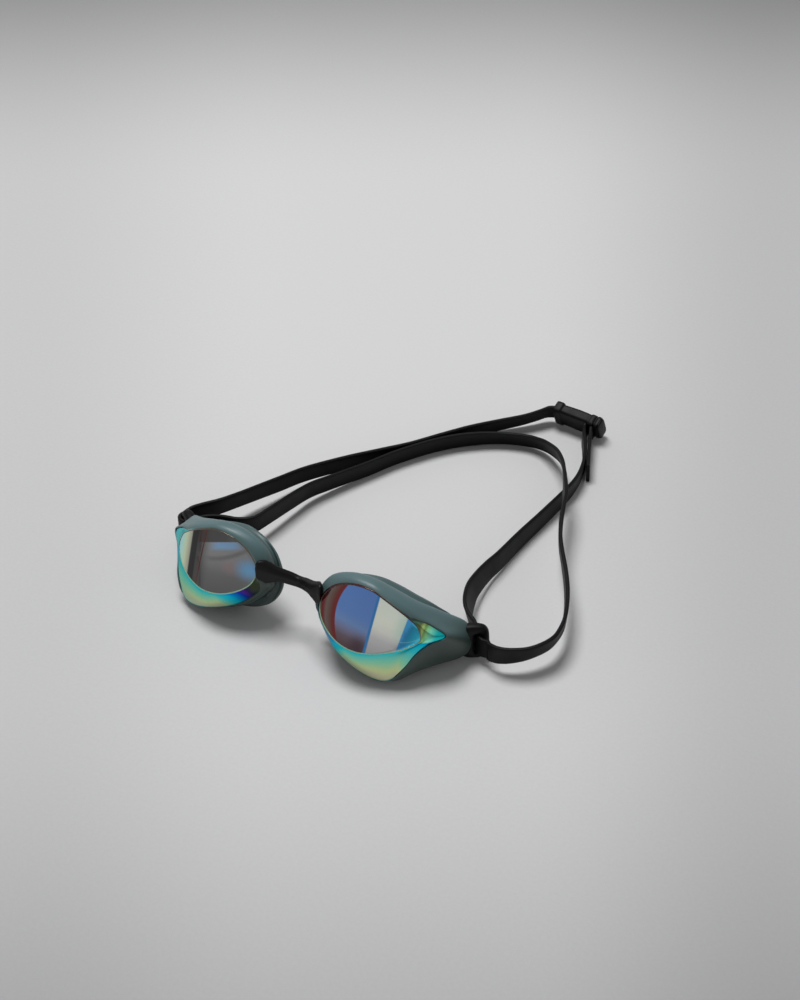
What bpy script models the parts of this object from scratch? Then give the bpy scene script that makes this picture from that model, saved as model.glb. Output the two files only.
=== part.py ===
"""Swim goggles with mirrored lenses, lying on a table with their doubled strap behind them.

The goggles face -Y, +X is on the wearer's left, and +Z is up. The origin is on the table, under the
middle of the eyecups and their bridge. Lengths are in millimetres, and MM turns them into metres.
Each eyecup is modelled in its own frame: u runs outward from the nose, v up the lens, and n out of
the lens's front. The left-hand cup (-X) is the mirror image of the right-hand one.
"""

import math

import bmesh
import bpy
from mathutils import Matrix, Vector

MM = 0.001
SIDES = {"left": -1, "right": 1}

# Eyecups
CUP_CENTRE = (31.0, -9.6, 19.8)      # middle of the window of the cup on the +X side
CUP_WRAP = math.radians(18.0)         # how far a cup turns outward
CUP_PITCH = math.radians(27.0)        # how far a cup looks up
CUP_ROLL = math.radians(14.5)         # how far a cup's outer end hangs down
CURVE_U = 0.0200                      # the lens face falls back by this times u squared
CURVE_V = 0.0016
LOOP_STEPS = 2                        # points on a loop for each of its stations
GAP = 0.3                             # between pieces that touch
TABLE_SIZE = (160.0, 120.0, 10.0)     # of the block that cuts the cups flat

# Sections of the lens, frame and face seal
WINDOW_SHARES = (0.35, 0.7, 1.0)      # of the window's outline, for its rings from the middle out
LENS_WALL = 1.3
LENS_SKIRT = 2.2
LIP_WIDTH = 0.7
FRAME_SWELL = (0.5, 0.35)             # share of the way from lip to shoulder, and how far out
GROOVE_DEPTH = 1.4
GROOVE_WIDTH = 1.2
FRAME_WALL = 1.5
SEAL_LIP = 3.0
SEAL_FLARE = 2.4
SEAL_NECK = (0.4, -0.2)               # share of the way from groove to rim, and how far out
SEAL_ROUNDING = 0.9

# Nose bridge
BRIDGE_SECTIONS = (                   # x, y, z, depth along Y, height
    (0.0, -2.0, 17.4, 2.4, 3.6),
    (2.6, -2.7, 18.1, 2.7, 4.0),
    (4.8, -3.9, 18.9, 3.0, 4.8),
    (6.8, -4.9, 19.3, 3.3, 6.6),
    (8.4, -5.5, 19.5, 3.6, 8.6),
)
BRIDGE_CORNER = 0.32                  # share of a section's half size that its corner takes
SOCKET_DEPTH = 6.0                    # of the room in the frame for the bridge's foot

# Side clips
CLIP_BAR = (53.5, 13.8, 6.4)           # middle of the bar of the clip on the +X side
CLIP_TURN = math.atan2(0.51, 0.86)    # heading of the temple, from +X towards +Y
CLIP_HEIGHT = 11.4
CLIP_THICKNESS = 2.0
CLIP_REACH = 8.4                      # from the bar back into the temple
CLIP_RISE = 0.3                       # of the plate's middle over the bar's
CLIP_ROUNDING = 0.8
CLIP_SLOT = (2.3, 7.5)                # width, height
SLOT_CUTTER_DEPTH = 8.0
BAR_RADIUS = 1.0
TEMPLE_GAP = 0.35

# Strap
BAND_WIDTH = 6.8
BAND_THICKNESS = 1.2
BAND_EDGE = 0.35
BAND_STEP = 3.6                       # between the points of a stretch
SLOT_CENTRE = 2.2                     # from the bar's middle to the slot's middle
LEFT_FOLD_START = ((-2.4, -1.9), (-2.2, -0.8))
RIGHT_FOLD = ((0.9, -3.6), (-0.7, -2.9), (-1.7, -1.7), (-2.2, 0.0), (-2.4, 1.9))
UPPER_LEFT_PART = 0.62                # share of each leg's points in its first stretch
LOWER_PART = 0.4
UPPER_RIGHT_PARTS = (0.55, 0.8)
LOOP_PART = 0.7

# Each leg: x, y, z and the lean of the band's top edge to the left of the way it runs, in degrees
UPPER_LEFT = (
    (-55.35, 15.7, 6.4, 0), (-54.6, 18.2, 6.8, -3), (-52.4, 20.7, 7.5, -7), (-48.4, 25.0, 8.2, -10),
    (-45.4, 31.6, 7.8, -12), (-42.8, 39.0, 7.0, -11), (-40.1, 46.5, 6.2, -10),
    (-37.4, 54.4, 5.4, -11), (-34.0, 61.2, 4.8, -12), (-28.1, 70.5, 4.2, -12),
    (-21.7, 79.1, 3.8, -12), (-15.0, 87.7, 3.6, -12), (-8.7, 97.3, 3.6, -13),
    (-2.3, 106.9, 3.6, -17), (4.7, 115.6, 3.7, -23), (10.6, 121.8, 4.2, -27),
    (14.4, 126.4, 4.8, -26), (16.6, 129.3, 5.2, -25),
)
LOWER = (
    (-50.1, 15.1, 6.4, 0), (-47.6, 17.4, 6.7, 0), (-43.6, 19.1, 7.0, 0), (-38.4, 20.7, 7.1, -2),
    (-34.6, 23.8, 7.2, -5), (-33.1, 30.8, 6.9, -6), (-31.9, 40.2, 6.2, -6), (-30.4, 49.6, 5.3, -9),
    (-27.5, 57.4, 4.5, -11), (-24.3, 64.7, 4.0, -11), (-20.9, 71.9, 3.7, -11),
    (-17.6, 79.4, 3.6, -12), (-13.8, 86.2, 3.6, -13), (-9.7, 92.6, 3.6, -14),
    (-5.1, 98.4, 3.6, -15), (0.0, 103.3, 3.6, -17), (5.5, 107.5, 3.5, -21),
    (11.4, 110.6, 3.5, -24), (18.0, 112.3, 3.8, -23), (23.0, 111.7, 4.5, -25),
    (27.4, 109.2, 5.9, -24), (33.0, 104.3, 8.0, -20), (38.1, 97.0, 10.1, -12),
    (41.8, 90.0, 11.2, -4), (44.5, 84.6, 11.4, 4), (46.8, 79.7, 11.3, 8), (49.1, 73.4, 11.2, 6),
    (52.1, 66.3, 10.9, 0), (54.8, 60.8, 10.5, -4), (58.8, 54.4, 10.1, -5), (63.5, 46.9, 9.7, -1),
    (67.6, 39.2, 9.3, 2), (70.7, 31.4, 8.9, 5), (71.7, 25.8, 8.6, 11), (71.2, 20.4, 8.2, 18),
    (67.8, 14.7, 7.7, 19), (63.3, 11.3, 7.2, 12), (59.6, 10.1, 6.8, 6), (56.7, 10.5, 6.4, 0),
)
UPPER_RIGHT = (
    (50.7, 14.7, 6.4, 0), (48.0, 17.5, 6.5, 4), (45.2, 19.8, 6.8, 12), (43.0, 22.8, 7.0, 19),
    (41.1, 27.1, 6.9, 23), (39.6, 32.0, 6.4, 22), (38.9, 37.7, 5.7, 18), (38.7, 44.0, 5.0, 13),
    (39.1, 50.8, 4.4, 9), (39.5, 63.3, 3.7, 5), (40.6, 76.1, 3.5, 1), (41.7, 88.2, 3.6, -2),
    (42.0, 94.7, 3.6, -5), (41.7, 100.4, 3.6, -6), (40.5, 106.7, 3.6, -4), (38.2, 113.5, 3.6, 0),
    (35.0, 120.0, 3.8, 0), (33.0, 123.6, 3.9, 0),
)
TAIL = (
    (37.2, 119.2, 3.9, 0), (39.5, 113.7, 3.6, 0), (41.7, 109.0, 3.6, -2), (43.0, 106.0, 3.6, -3),
)

# Rear buckle
BUCKLE_CENTRE = (28.3, 130.0, 5.3)
BUCKLE_TURN = math.radians(-4.0)
BUCKLE_LEAN = math.radians(25.0)
BUCKLE_SIZE = (17.6, 4.4, 8.8)
BUCKLE_ROUNDING = 0.7
COLLAR_SIZE = (3.0, 5.0, 9.4)
BLOCK_SIZE = (4.4, 5.0, 8.4)
COLLAR_ROUNDING = 0.6
COLLAR_OVERHANG = 0.4                 # of the collar and the block past the buckle's ends
CHANNEL_CLEARANCE = 0.3               # round the band inside the buckle
LEFT_END = -3.0                       # where the left leg ends inside the buckle
ENTRY_REACH = 2.0                     # straight part of the left leg inside the buckle's mouth
FOLD_CENTRE = (4.9, -0.9)             # of the right leg's fold, in the buckle's plan
FOLD_RADIUS = 1.15
FOLD_REACH = 2.4                      # of the fold's legs in front of the bar
CHANNEL_REACH = 6.0                   # of the room for them

# Station of each loop round a cup: the outer tip first, then over the top to the nose and back below
WINDOW = (
    (12.6, 0.6), (10.8, 3.6), (7.6, 5.4), (3.6, 6.9), (-0.8, 8.2), (-5.2, 9.0),
    (-10.8, 8.0), (-15.6, 5.0), (-18.3, 0.2), (-17.4, -4.4), (-13.6, -7.7), (-8.6, -9.4),
    (-3.4, -9.4), (1.2, -8.0), (5.0, -6.2), (8.0, -4.4), (10.4, -2.5), (12.0, -0.9),
)
LENS_EDGE = (
    (18.9, 3.1, -6.6), (14.4, 5.0, -4.6), (9.6, 6.2, -2.6), (5.0, 7.6, -1.3), (-0.2, 9.0, -0.8),
    (-5.4, 10.0, -1.3), (-11.6, 8.9, -3.3), (-16.8, 5.6, -6.3), (-19.5, 0.0, -8.3),
    (-18.6, -5.4, -8.9), (-15.0, -9.6, -8.4), (-10.2, -13.0, -6.6), (-4.0, -15.2, -4.9),
    (2.4, -16.3, -4.3), (8.0, -15.2, -4.2), (11.2, -9.6, -3.6), (12.8, -4.6, -4.0),
    (15.4, -0.4, -5.2),
)
SHOULDER = (
    (26.4, 1.0, -18.4), (22.8, 6.4, -16.6), (15.2, 8.4, -10.4), (8.0, 9.6, -6.6), (0.6, 10.9, -4.8),
    (-5.6, 11.6, -4.9), (-12.4, 10.4, -6.6), (-18.2, 6.6, -9.0), (-20.4, 0.3, -11.2),
    (-19.2, -5.9, -11.8), (-15.7, -10.4, -11.2), (-11.4, -14.3, -9.6), (-4.6, -16.8, -7.8),
    (2.4, -17.9, -7.0), (9.0, -16.3, -7.4), (14.0, -11.4, -9.5), (19.6, -7.6, -14.2),
    (24.8, -4.0, -18.0),
)
GROOVE = (
    (24.4, 0.6, -20.0), (20.8, 5.8, -18.0), (13.6, 8.0, -12.4), (7.2, 9.0, -9.0), (0.4, 10.2, -8.0),
    (-5.8, 10.6, -8.2), (-12.2, 9.2, -9.8), (-17.4, 5.4, -12.0), (-20.0, -0.6, -13.6),
    (-19.2, -6.6, -14.2), (-15.8, -11.0, -13.8), (-10.8, -14.0, -12.6), (-4.4, -16.0, -11.2),
    (2.2, -17.0, -10.4), (8.4, -15.4, -10.4), (13.2, -10.8, -12.4), (18.2, -7.4, -16.4),
    (23.0, -3.8, -19.6),
)
SEAL_RIM = (
    (19.6, 0.0, -23.6), (17.0, 5.0, -21.8), (12.0, 7.6, -18.0), (6.2, 8.8, -16.4), (0.0, 9.8, -15.6),
    (-5.8, 9.9, -15.4), (-12.4, 8.0, -15.6), (-17.6, 4.2, -16.2), (-20.4, -1.6, -17.2),
    (-19.8, -6.6, -18.0), (-16.4, -10.8, -18.4), (-11.6, -13.2, -18.4), (-5.4, -14.0, -18.0),
    (0.6, -13.8, -17.8), (6.6, -12.2, -17.8), (12.0, -9.4, -18.8), (16.6, -6.6, -21.6),
    (19.4, -3.4, -23.4),
)


# Scene, collections and materials

def clear_scene():
    for thing in list(bpy.data.objects):
        bpy.data.objects.remove(thing, do_unlink=True)


def new_collection(name):
    collection = bpy.data.collections.new(name)
    bpy.context.scene.collection.children.link(collection)
    return collection


def make_material(name, colour, roughness, metallic=0.0):
    material = bpy.data.materials.new(name)
    material.use_nodes = True
    shader = material.node_tree.nodes["Principled BSDF"]
    shader.inputs["Base Color"].default_value = (*colour, 1.0)
    shader.inputs["Roughness"].default_value = roughness
    shader.inputs["Metallic"].default_value = metallic
    material.diffuse_color = (*colour, 1.0)
    return material


def add_object(name, data, collection, material=None, parent=None):
    thing = bpy.data.objects.new(name, data)
    collection.objects.link(thing)
    if material:
        data.materials.append(material)
    thing.parent = parent
    return thing


def add_empty(name, collection, matrix):
    empty = add_object(name, None, collection)
    empty.matrix_world = matrix
    empty.empty_display_size = 0.01
    return empty


def hide_helper(thing):
    thing.hide_render = True
    thing.display_type = "WIRE"
    return thing


# Curves and lofts

def spline_point(a, b, c, d, t):
    """Point at t on the Catmull-Rom span from b to c."""
    return 0.5 * (2 * b + (c - a) * t + (2 * a - 5 * b + 4 * c - d) * t**2
                  + (3 * b - a - 3 * c + d) * t**3)


def closed_loop(stations, steps=LOOP_STEPS):
    points = [Vector(station) for station in stations]
    count = len(points)
    return [spline_point(points[i - 1], points[i], points[(i + 1) % count],
                         points[(i + 2) % count], step / steps)
            for i in range(count) for step in range(steps)]


def moved(loop, outward=0.0, depth=0.0):
    """The loop, widened along its own normals in the u, v plane and shifted along n."""
    result = []
    for i, point in enumerate(loop):
        along = loop[(i + 1) % len(loop)] - loop[i - 1]
        normal = Vector((along.y, -along.x, 0.0)).normalized()
        result.append(point + normal * outward + Vector((0.0, 0.0, depth)))
    return result


def between(first, second, share, outward=0.0):
    return moved([a.lerp(b, share) for a, b in zip(first, second)], outward)


def face_depth(u, v):
    return -CURVE_U * u * u - CURVE_V * v * v


def on_face(loop, share, depth=0.0):
    """The loop drawn in towards its middle and laid on the lens's curved face."""
    middle = sum((Vector((p.x, p.y, 0.0)) for p in loop), Vector()) / len(loop)
    result = []
    for point in loop:
        u = middle.x + (point.x - middle.x) * share
        v = middle.y + (point.y - middle.y) * share
        result.append(Vector((u, v, face_depth(u, v) + depth)))
    return result


def cup_point(point, side):
    """A point's u, v, n as x, y, z of the cup's empty, which faces -Y."""
    return Vector((side * point.x, -point.z, point.y)) * MM


def loft(name, rings, side, closed=True):
    """Skin of rings with the same number of points. An open loft ends in a point at both ends."""
    work = bmesh.new()
    rows = [[work.verts.new(cup_point(point, side)) for point in ring] for ring in rings]
    pairs = list(zip(rows, rows[1:]))
    if closed:
        pairs.append((rows[-1], rows[0]))
    for first, second in pairs:
        for i in range(len(first)):
            j = (i + 1) % len(first)
            work.faces.new((first[i], first[j], second[j], second[i]))
    if not closed:
        for row in (rows[0], rows[-1]):
            middle = sum((vert.co for vert in row), Vector()) / len(row)
            pole = work.verts.new(middle)
            for i in range(len(row)):
                work.faces.new((row[i], row[(i + 1) % len(row)], pole))
    bmesh.ops.recalc_face_normals(work, faces=work.faces[:])
    mesh = bpy.data.meshes.new(name)
    work.to_mesh(mesh)
    work.free()
    mesh.shade_smooth()
    mesh.set_sharp_from_angle(angle=math.radians(40))
    return mesh


def cut(thing, cutter, operation="DIFFERENCE"):
    modifier = thing.modifiers.new(cutter.name, "BOOLEAN")
    modifier.operation = operation
    modifier.object = cutter
    modifier.solver = "EXACT"
    return modifier


def box_object(name, size, collection, material=None, parent=None, matrix=None):
    mesh = bpy.data.meshes.new(name)
    work = bmesh.new()
    bmesh.ops.create_cube(work, size=1.0, matrix=Matrix.Diagonal((*size, 1.0 / MM)) * MM)
    work.to_mesh(mesh)
    work.free()
    thing = add_object(name, mesh, collection, material, parent)
    if matrix:
        thing.matrix_basis = matrix
    return thing


def rounded_box(name, size, radius, collection, material=None, parent=None, matrix=None):
    thing = box_object(name, size, collection, material, parent, matrix)
    bevel = thing.modifiers.new("rounded edges", "BEVEL")
    bevel.width = radius * MM
    bevel.segments = 2
    return thing


# Eyecups

def cup_matrix(side):
    x, y, z = CUP_CENTRE
    return (Matrix.Translation(Vector((side * x, y, z)) * MM)
            @ Matrix.Rotation(side * CUP_WRAP, 4, "Z")
            @ Matrix.Rotation(-CUP_PITCH, 4, "X")
            @ Matrix.Rotation(side * CUP_ROLL, 4, "Y"))


def lens_mesh(name, side):
    """Curved window, bevelled border with its outer wing, and a skirt behind."""
    window = closed_loop([(u, v, 0.0) for u, v in WINDOW])
    edge = closed_loop(LENS_EDGE)
    rings = [on_face(window, share) for share in WINDOW_SHARES]
    rings += [edge, moved(edge, 0.0, -LENS_SKIRT), moved(edge, -LENS_WALL, -LENS_SKIRT)]
    rings += [on_face(window, share, -LENS_WALL) for share in reversed(WINDOW_SHARES)]
    return loft(name, rings, side, closed=False)


def frame_mesh(name, side):
    """Soft frame round the lens, swept back to the temple on its outer side."""
    edge = closed_loop(LENS_EDGE)
    shoulder = closed_loop(SHOULDER)
    groove = closed_loop(GROOVE)
    rings = [
        moved(edge, GAP, 0.1),
        moved(edge, GAP + LIP_WIDTH, 0.0),
        between(moved(edge, GAP + LIP_WIDTH), shoulder, *FRAME_SWELL),
        shoulder,
        groove,
        moved(groove, -GROOVE_DEPTH, 0.1),
        moved(groove, -GROOVE_DEPTH, -GROOVE_WIDTH),
        moved(groove, -GROOVE_DEPTH - FRAME_WALL, -GROOVE_WIDTH),
        moved(edge, -LENS_WALL, -LENS_SKIRT - GAP),
        moved(edge, GAP, -LENS_SKIRT - GAP),
    ]
    return loft(name, rings, side)


def seal_mesh(name, side):
    """Neck behind the frame's groove, flared to the soft rim that meets the face."""
    groove = closed_loop(GROOVE)
    rim = closed_loop(SEAL_RIM)
    start = -GROOVE_WIDTH - GAP
    rings = [
        moved(groove, -GROOVE_DEPTH, start),
        between(moved(groove, -GROOVE_DEPTH, start), rim, *SEAL_NECK),
        moved(rim, 0.0, SEAL_FLARE),
        moved(rim, 0.0, SEAL_ROUNDING),
        moved(rim, -SEAL_ROUNDING, 0.0),
        moved(rim, -SEAL_LIP, -0.2),
        moved(rim, -SEAL_LIP, 1.0),
        moved(groove, -GROOVE_DEPTH - FRAME_WALL, start),
    ]
    return loft(name, rings, side)


def make_cup(label, side, parts, cutters, materials):
    """The three shells of one eyecup, cut flat where they stand on the table."""
    holder = add_empty(f"{label}_cup", parts, cup_matrix(side))
    add_object(f"lens_{label}", lens_mesh(f"lens_{label}", side), parts, materials["lens"], holder)
    frame = add_object(f"frame_{label}", frame_mesh(f"frame_{label}", side), parts,
                       materials["frame"], holder)
    seal = add_object(f"face_seal_{label}", seal_mesh(f"face_seal_{label}", side), parts,
                      materials["seal"], holder)
    for thing in (frame, seal):
        cut(thing, cutters["table"])
    return frame


def make_table_cutter(collection):
    """Block whose top is the table."""
    place = Matrix.Translation(Vector((0.0, 0.0, -TABLE_SIZE[2] / 2)) * MM)
    return hide_helper(box_object("table_cutter", TABLE_SIZE, collection, matrix=place))


# Nose bridge

def rounded_section(x, y, z, depth, height):
    """Eight points of a rounded block's section at x."""
    half_d, half_h = depth / 2, height / 2
    d_in, h_in = half_d * (1 - BRIDGE_CORNER), half_h * (1 - BRIDGE_CORNER)
    outline = ((d_in, half_h), (half_d, h_in), (half_d, -h_in), (d_in, -half_h),
               (-d_in, -half_h), (-half_d, -h_in), (-half_d, h_in), (-d_in, half_h))
    return [Vector((x, y + a, z + b)) * MM for a, b in outline]


def bridge_mesh(name):
    """Half a bridge, thin in the middle and widened to its foot, open where Mirror joins it."""
    work = bmesh.new()
    rows = [[work.verts.new(point) for point in rounded_section(*section)]
            for section in BRIDGE_SECTIONS]
    for first, second in zip(rows, rows[1:]):
        for i in range(len(first)):
            j = (i + 1) % len(first)
            work.faces.new((first[i], second[i], second[j], first[j]))
    work.faces.new(rows[-1])
    bmesh.ops.recalc_face_normals(work, faces=work.faces[:])
    mesh = bpy.data.meshes.new(name)
    work.to_mesh(mesh)
    work.free()
    return mesh


def make_bridge(parts, materials):
    bridge = add_object("nose_bridge", bridge_mesh("nose_bridge"), parts, materials["bridge"])
    mirror = bridge.modifiers.new("both halves", "MIRROR")
    mirror.merge_threshold = 0.0001
    return bridge


def make_socket_cutters(bridge, cutters, frames):
    """Room in each frame for the bridge's foot."""
    x, y, z, depth, height = BRIDGE_SECTIONS[-1]
    front = y - depth / 2 - GAP
    back = max(section[1] + section[3] / 2 for section in BRIDGE_SECTIONS[-2:]) + GAP
    size = (SOCKET_DEPTH, back - front, height + 2 * GAP)
    for label, side in SIDES.items():
        middle = (side * (x + GAP - size[0] / 2), (front + back) / 2, z)
        place = Matrix.Translation(Vector(middle) * MM)
        socket = hide_helper(box_object(f"socket_cutter_{label}", size, cutters, matrix=place))
        cut(frames[label], socket)


# Side clips

def clip_matrix(side):
    x, y, z = CLIP_BAR
    turn = CLIP_TURN if side > 0 else math.pi - CLIP_TURN
    return Matrix.Translation(Vector((side * x, y, z)) * MM) @ Matrix.Rotation(turn, 4, "Z")


def make_clip(label, side, parts, cutters, materials, frame):
    """Plate with a slot for the strap and a bar at its end, fitted to the temple's curved end."""
    holder = add_empty(f"{label}_clip", parts, clip_matrix(side))
    length = CLIP_REACH + BAR_RADIUS
    shift = Matrix.Translation(Vector((BAR_RADIUS - length / 2, 0.0, CLIP_RISE)) * MM)
    body = rounded_box(f"side_clip_{label}", (length, CLIP_THICKNESS, CLIP_HEIGHT), CLIP_ROUNDING,
                       parts, materials["clip"], holder, shift)
    width, height = CLIP_SLOT
    slot_place = clip_matrix(side) @ Matrix.Translation(Vector((-SLOT_CENTRE, 0.0, 0.0)) * MM)
    slot = hide_helper(box_object(f"slot_cutter_{label}", (width, SLOT_CUTTER_DEPTH, height), cutters,
                                  matrix=slot_place))
    cut(body, slot)
    temple = frame.copy()
    temple.name = f"temple_cutter_{label}"
    temple.data = frame.data.copy()
    temple.modifiers.clear()
    cutters.objects.link(temple)
    grow = temple.modifiers.new("gap", "DISPLACE")
    grow.strength = TEMPLE_GAP * MM
    grow.mid_level = 0.0
    cut(body, hide_helper(temple))
    return body


# Strap

def route_points(route):
    """Points every BAND_STEP or so along a smooth line through the route's own points."""
    keys = [Vector(key) for key in route]
    keys = [2 * keys[0] - keys[1]] + keys + [2 * keys[-1] - keys[-2]]
    line = []
    for i in range(1, len(keys) - 2):
        span = (keys[i + 1] - keys[i]).xyz.length
        steps = max(1, round(span / BAND_STEP))
        line += [spline_point(*keys[i - 1:i + 3], step / steps) for step in range(steps)]
    line.append(keys[-2])
    return line


def trimmed(line, start, end):
    """The line with a length cut from each of its ends."""
    line = list(line)
    for cut_length, first, second in ((start, 0, 1), (end, -1, -2)):
        if cut_length:
            whole = (line[second] - line[first]).xyz.length
            line[first] = line[first].lerp(line[second], cut_length / whole)
    return line


def band_profile(name, collection, grown=0.0):
    """Rounded rectangle that a stretch of the band, or the room for it, is swept from."""
    half_t = BAND_THICKNESS / 2 + grown
    half_w = BAND_WIDTH / 2 + grown
    edge = BAND_EDGE
    outline = ((half_t, edge - half_w), (half_t - edge, -half_w), (edge - half_t, -half_w),
               (-half_t, edge - half_w), (-half_t, half_w - edge), (edge - half_t, half_w),
               (half_t - edge, half_w), (half_t, half_w - edge))
    curve = bpy.data.curves.new(name, "CURVE")
    curve.dimensions = "2D"
    spline = curve.splines.new("POLY")
    spline.points.add(len(outline) - 1)
    for point, (x, y) in zip(spline.points, outline):
        point.co = (x * MM, y * MM, 0.0, 1.0)
    spline.use_cyclic_u = True
    return hide_helper(add_object(name, curve, collection))


def make_stretch(name, line, profile, collection, material=None):
    """Flat band along the line, standing on edge and leaning as the line's fourth value says."""
    curve = bpy.data.curves.new(name, "CURVE")
    curve.dimensions = "3D"
    curve.twist_mode = "Z_UP"
    curve.bevel_mode = "OBJECT"
    curve.bevel_object = profile
    curve.use_fill_caps = True
    spline = curve.splines.new("POLY")
    spline.points.add(len(line) - 1)
    for point, (x, y, z, lean) in zip(spline.points, line):
        point.co = (x * MM, y * MM, z * MM, 1.0)
        point.tilt = -math.radians(lean)
    return add_object(name, curve, collection, material)


def parted(line, share):
    """Two stretches of the line, a gap apart at that share of its points."""
    index = round(len(line) * share)
    return trimmed(line[:index + 1], 0.0, GAP / 2), trimmed(line[index:], GAP / 2, 0.0)


def arc(centre, radius, angles):
    return [(centre[0] + radius * math.cos(math.radians(a)),
             centre[1] + radius * math.sin(math.radians(a))) for a in angles]


def placed(plan, matrix):
    """Points of a plan in the matrix's own XY plane, with the lean that keeps the band along its Z."""
    points = [matrix @ (Vector((x, y, 0.0)) * MM) / MM for x, y in plan]
    up = matrix.col[2].xyz
    result = []
    for i, point in enumerate(points):
        along = (points[min(i + 1, len(points) - 1)] - points[max(i - 1, 0)]).normalized()
        left = Vector((-along.y, along.x, 0.0)).normalized()
        lean = math.atan2(up.dot(left), up.dot(along.cross(left)))
        result.append(Vector((*point, math.degrees(lean))))
    return result


def left_fold():
    """From the lower leg out through the left clip's slot and round its bar."""
    turn = arc((0.0, 0.0), SLOT_CENTRE, range(180, -1, -20))
    return placed([*LEFT_FOLD_START, *turn], clip_matrix(-1))


def right_fold():
    """From the lower leg in through the right clip's slot to the upper leg."""
    return placed(RIGHT_FOLD, clip_matrix(1))


def fold_plan(reach):
    """Round the bar inside the buckle, from a reach in front of the bar and back, in its own plan."""
    x, y = FOLD_CENTRE
    turn = arc(FOLD_CENTRE, FOLD_RADIUS, range(180, -1, -30))
    return [(x - FOLD_RADIUS, y - reach), *turn, (x + FOLD_RADIUS, y - reach)]


def make_strap(parts, cutters, materials):
    profile = band_profile("band_profile", cutters)

    def stretch(name, line):
        make_stretch(name, line, profile, parts, materials["strap"])

    entry = -BUCKLE_SIZE[0] / 2
    into_buckle = placed([(entry, 0.0), (entry + ENTRY_REACH, 0.0), (LEFT_END, 0.0)], buckle_matrix())
    front, rear = parted(route_points([*UPPER_LEFT, *into_buckle]), UPPER_LEFT_PART)
    stretch("strap_upper_left_front", front)
    stretch("strap_upper_left_rear", rear)
    left, right = parted(route_points(LOWER), LOWER_PART)
    stretch("strap_lower_left", left)
    stretch("strap_lower_right", right)
    fold = placed(fold_plan(FOLD_REACH), buckle_matrix())
    front, rear = parted(route_points([*UPPER_RIGHT, fold[0]]), UPPER_RIGHT_PARTS[0])
    stretch("strap_upper_right_front", front)
    rear, last = parted(rear, UPPER_RIGHT_PARTS[1])
    stretch("strap_upper_right_rear", rear)
    loop, tail = parted(last[:-1] + fold + route_points(TAIL), LOOP_PART)
    stretch("strap_buckle_loop", loop)
    stretch("strap_tail", tail)
    stretch("strap_fold_left", left_fold())
    stretch("strap_fold_right", right_fold())


# Buckle

def buckle_matrix():
    return (Matrix.Translation(Vector(BUCKLE_CENTRE) * MM)
            @ Matrix.Rotation(BUCKLE_TURN, 4, "Z")
            @ Matrix.Rotation(BUCKLE_LEAN, 4, "X"))


def swept_cutter(name, plan, profile, cutters):
    """Room for the band along a plan in the buckle, as a mesh that a Boolean can use."""
    curve = make_stretch(name, placed(plan, buckle_matrix()), profile, cutters)
    bpy.context.view_layer.update()
    evaluated = curve.evaluated_get(bpy.context.evaluated_depsgraph_get())
    mesh = bpy.data.meshes.new_from_object(evaluated)
    work = bmesh.new()
    work.from_mesh(mesh)
    bmesh.ops.remove_doubles(work, verts=work.verts, dist=0.01 * MM)
    bmesh.ops.recalc_face_normals(work, faces=work.faces[:])
    work.to_mesh(mesh)
    work.free()
    bpy.data.objects.remove(curve, do_unlink=True)
    return hide_helper(add_object(name, mesh, cutters))


def make_buckle(parts, cutters, materials):
    """Solid block with a collar at its left end and a channel for each end of the band."""
    place = buckle_matrix()
    length = BUCKLE_SIZE[0]
    buckle = rounded_box("strap_buckle", BUCKLE_SIZE, BUCKLE_ROUNDING, parts, materials["clip"],
                         matrix=place)
    for name, size, side in (("collar", COLLAR_SIZE, -1), ("end_block", BLOCK_SIZE, 1)):
        shift = Matrix.Translation(Vector((side * (length - size[0] + COLLAR_OVERHANG) / 2, 0.0, 0.0)) * MM)
        added = rounded_box(name, size, COLLAR_ROUNDING, cutters, matrix=place @ shift)
        cut(buckle, hide_helper(added), "UNION")
    profile = band_profile("channel_profile", cutters, CHANNEL_CLEARANCE)
    left_plan = [(-length, 0.0), (LEFT_END + GAP, 0.0)]
    for name, plan in (("left_channel", left_plan), ("fold_channel", fold_plan(CHANNEL_REACH))):
        cut(buckle, swept_cutter(name, plan, profile, cutters))
    return buckle


def main():
    clear_scene()
    parts = new_collection("swim_goggles")
    cutter_collection = new_collection("cutters")
    materials = {
        "lens": make_material("lens_mirror", (0.10, 0.30, 0.42), 0.08, 0.9),
        "frame": make_material("frame_green", (0.105, 0.165, 0.160), 0.42),
        "seal": make_material("seal_green", (0.090, 0.145, 0.140), 0.45),
        "clip": make_material("clip_black", (0.010, 0.010, 0.011), 0.35),
        "bridge": make_material("bridge_black", (0.016, 0.013, 0.016), 0.40),
        "strap": make_material("strap_black", (0.012, 0.012, 0.013), 0.48),
    }
    cutters = {"table": make_table_cutter(cutter_collection)}
    frames = {}
    for label, side in SIDES.items():
        frames[label] = make_cup(label, side, parts, cutters, materials)
        make_clip(label, side, parts, cutter_collection, materials, frames[label])
    bridge = make_bridge(parts, materials)
    make_socket_cutters(bridge, cutter_collection, frames)
    make_strap(parts, cutter_collection, materials)
    make_buckle(parts, cutter_collection, materials)


main()
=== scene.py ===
"""Looks of the swim goggles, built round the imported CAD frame.

Lengths are in millimetres, as in the part's source, and MM turns them into metres. An eyecup's own
coordinates are u outward from the nose, v up the lens and n out of its front.
"""

import math

import bmesh
import bpy
from mathutils import Matrix, Vector

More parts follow.
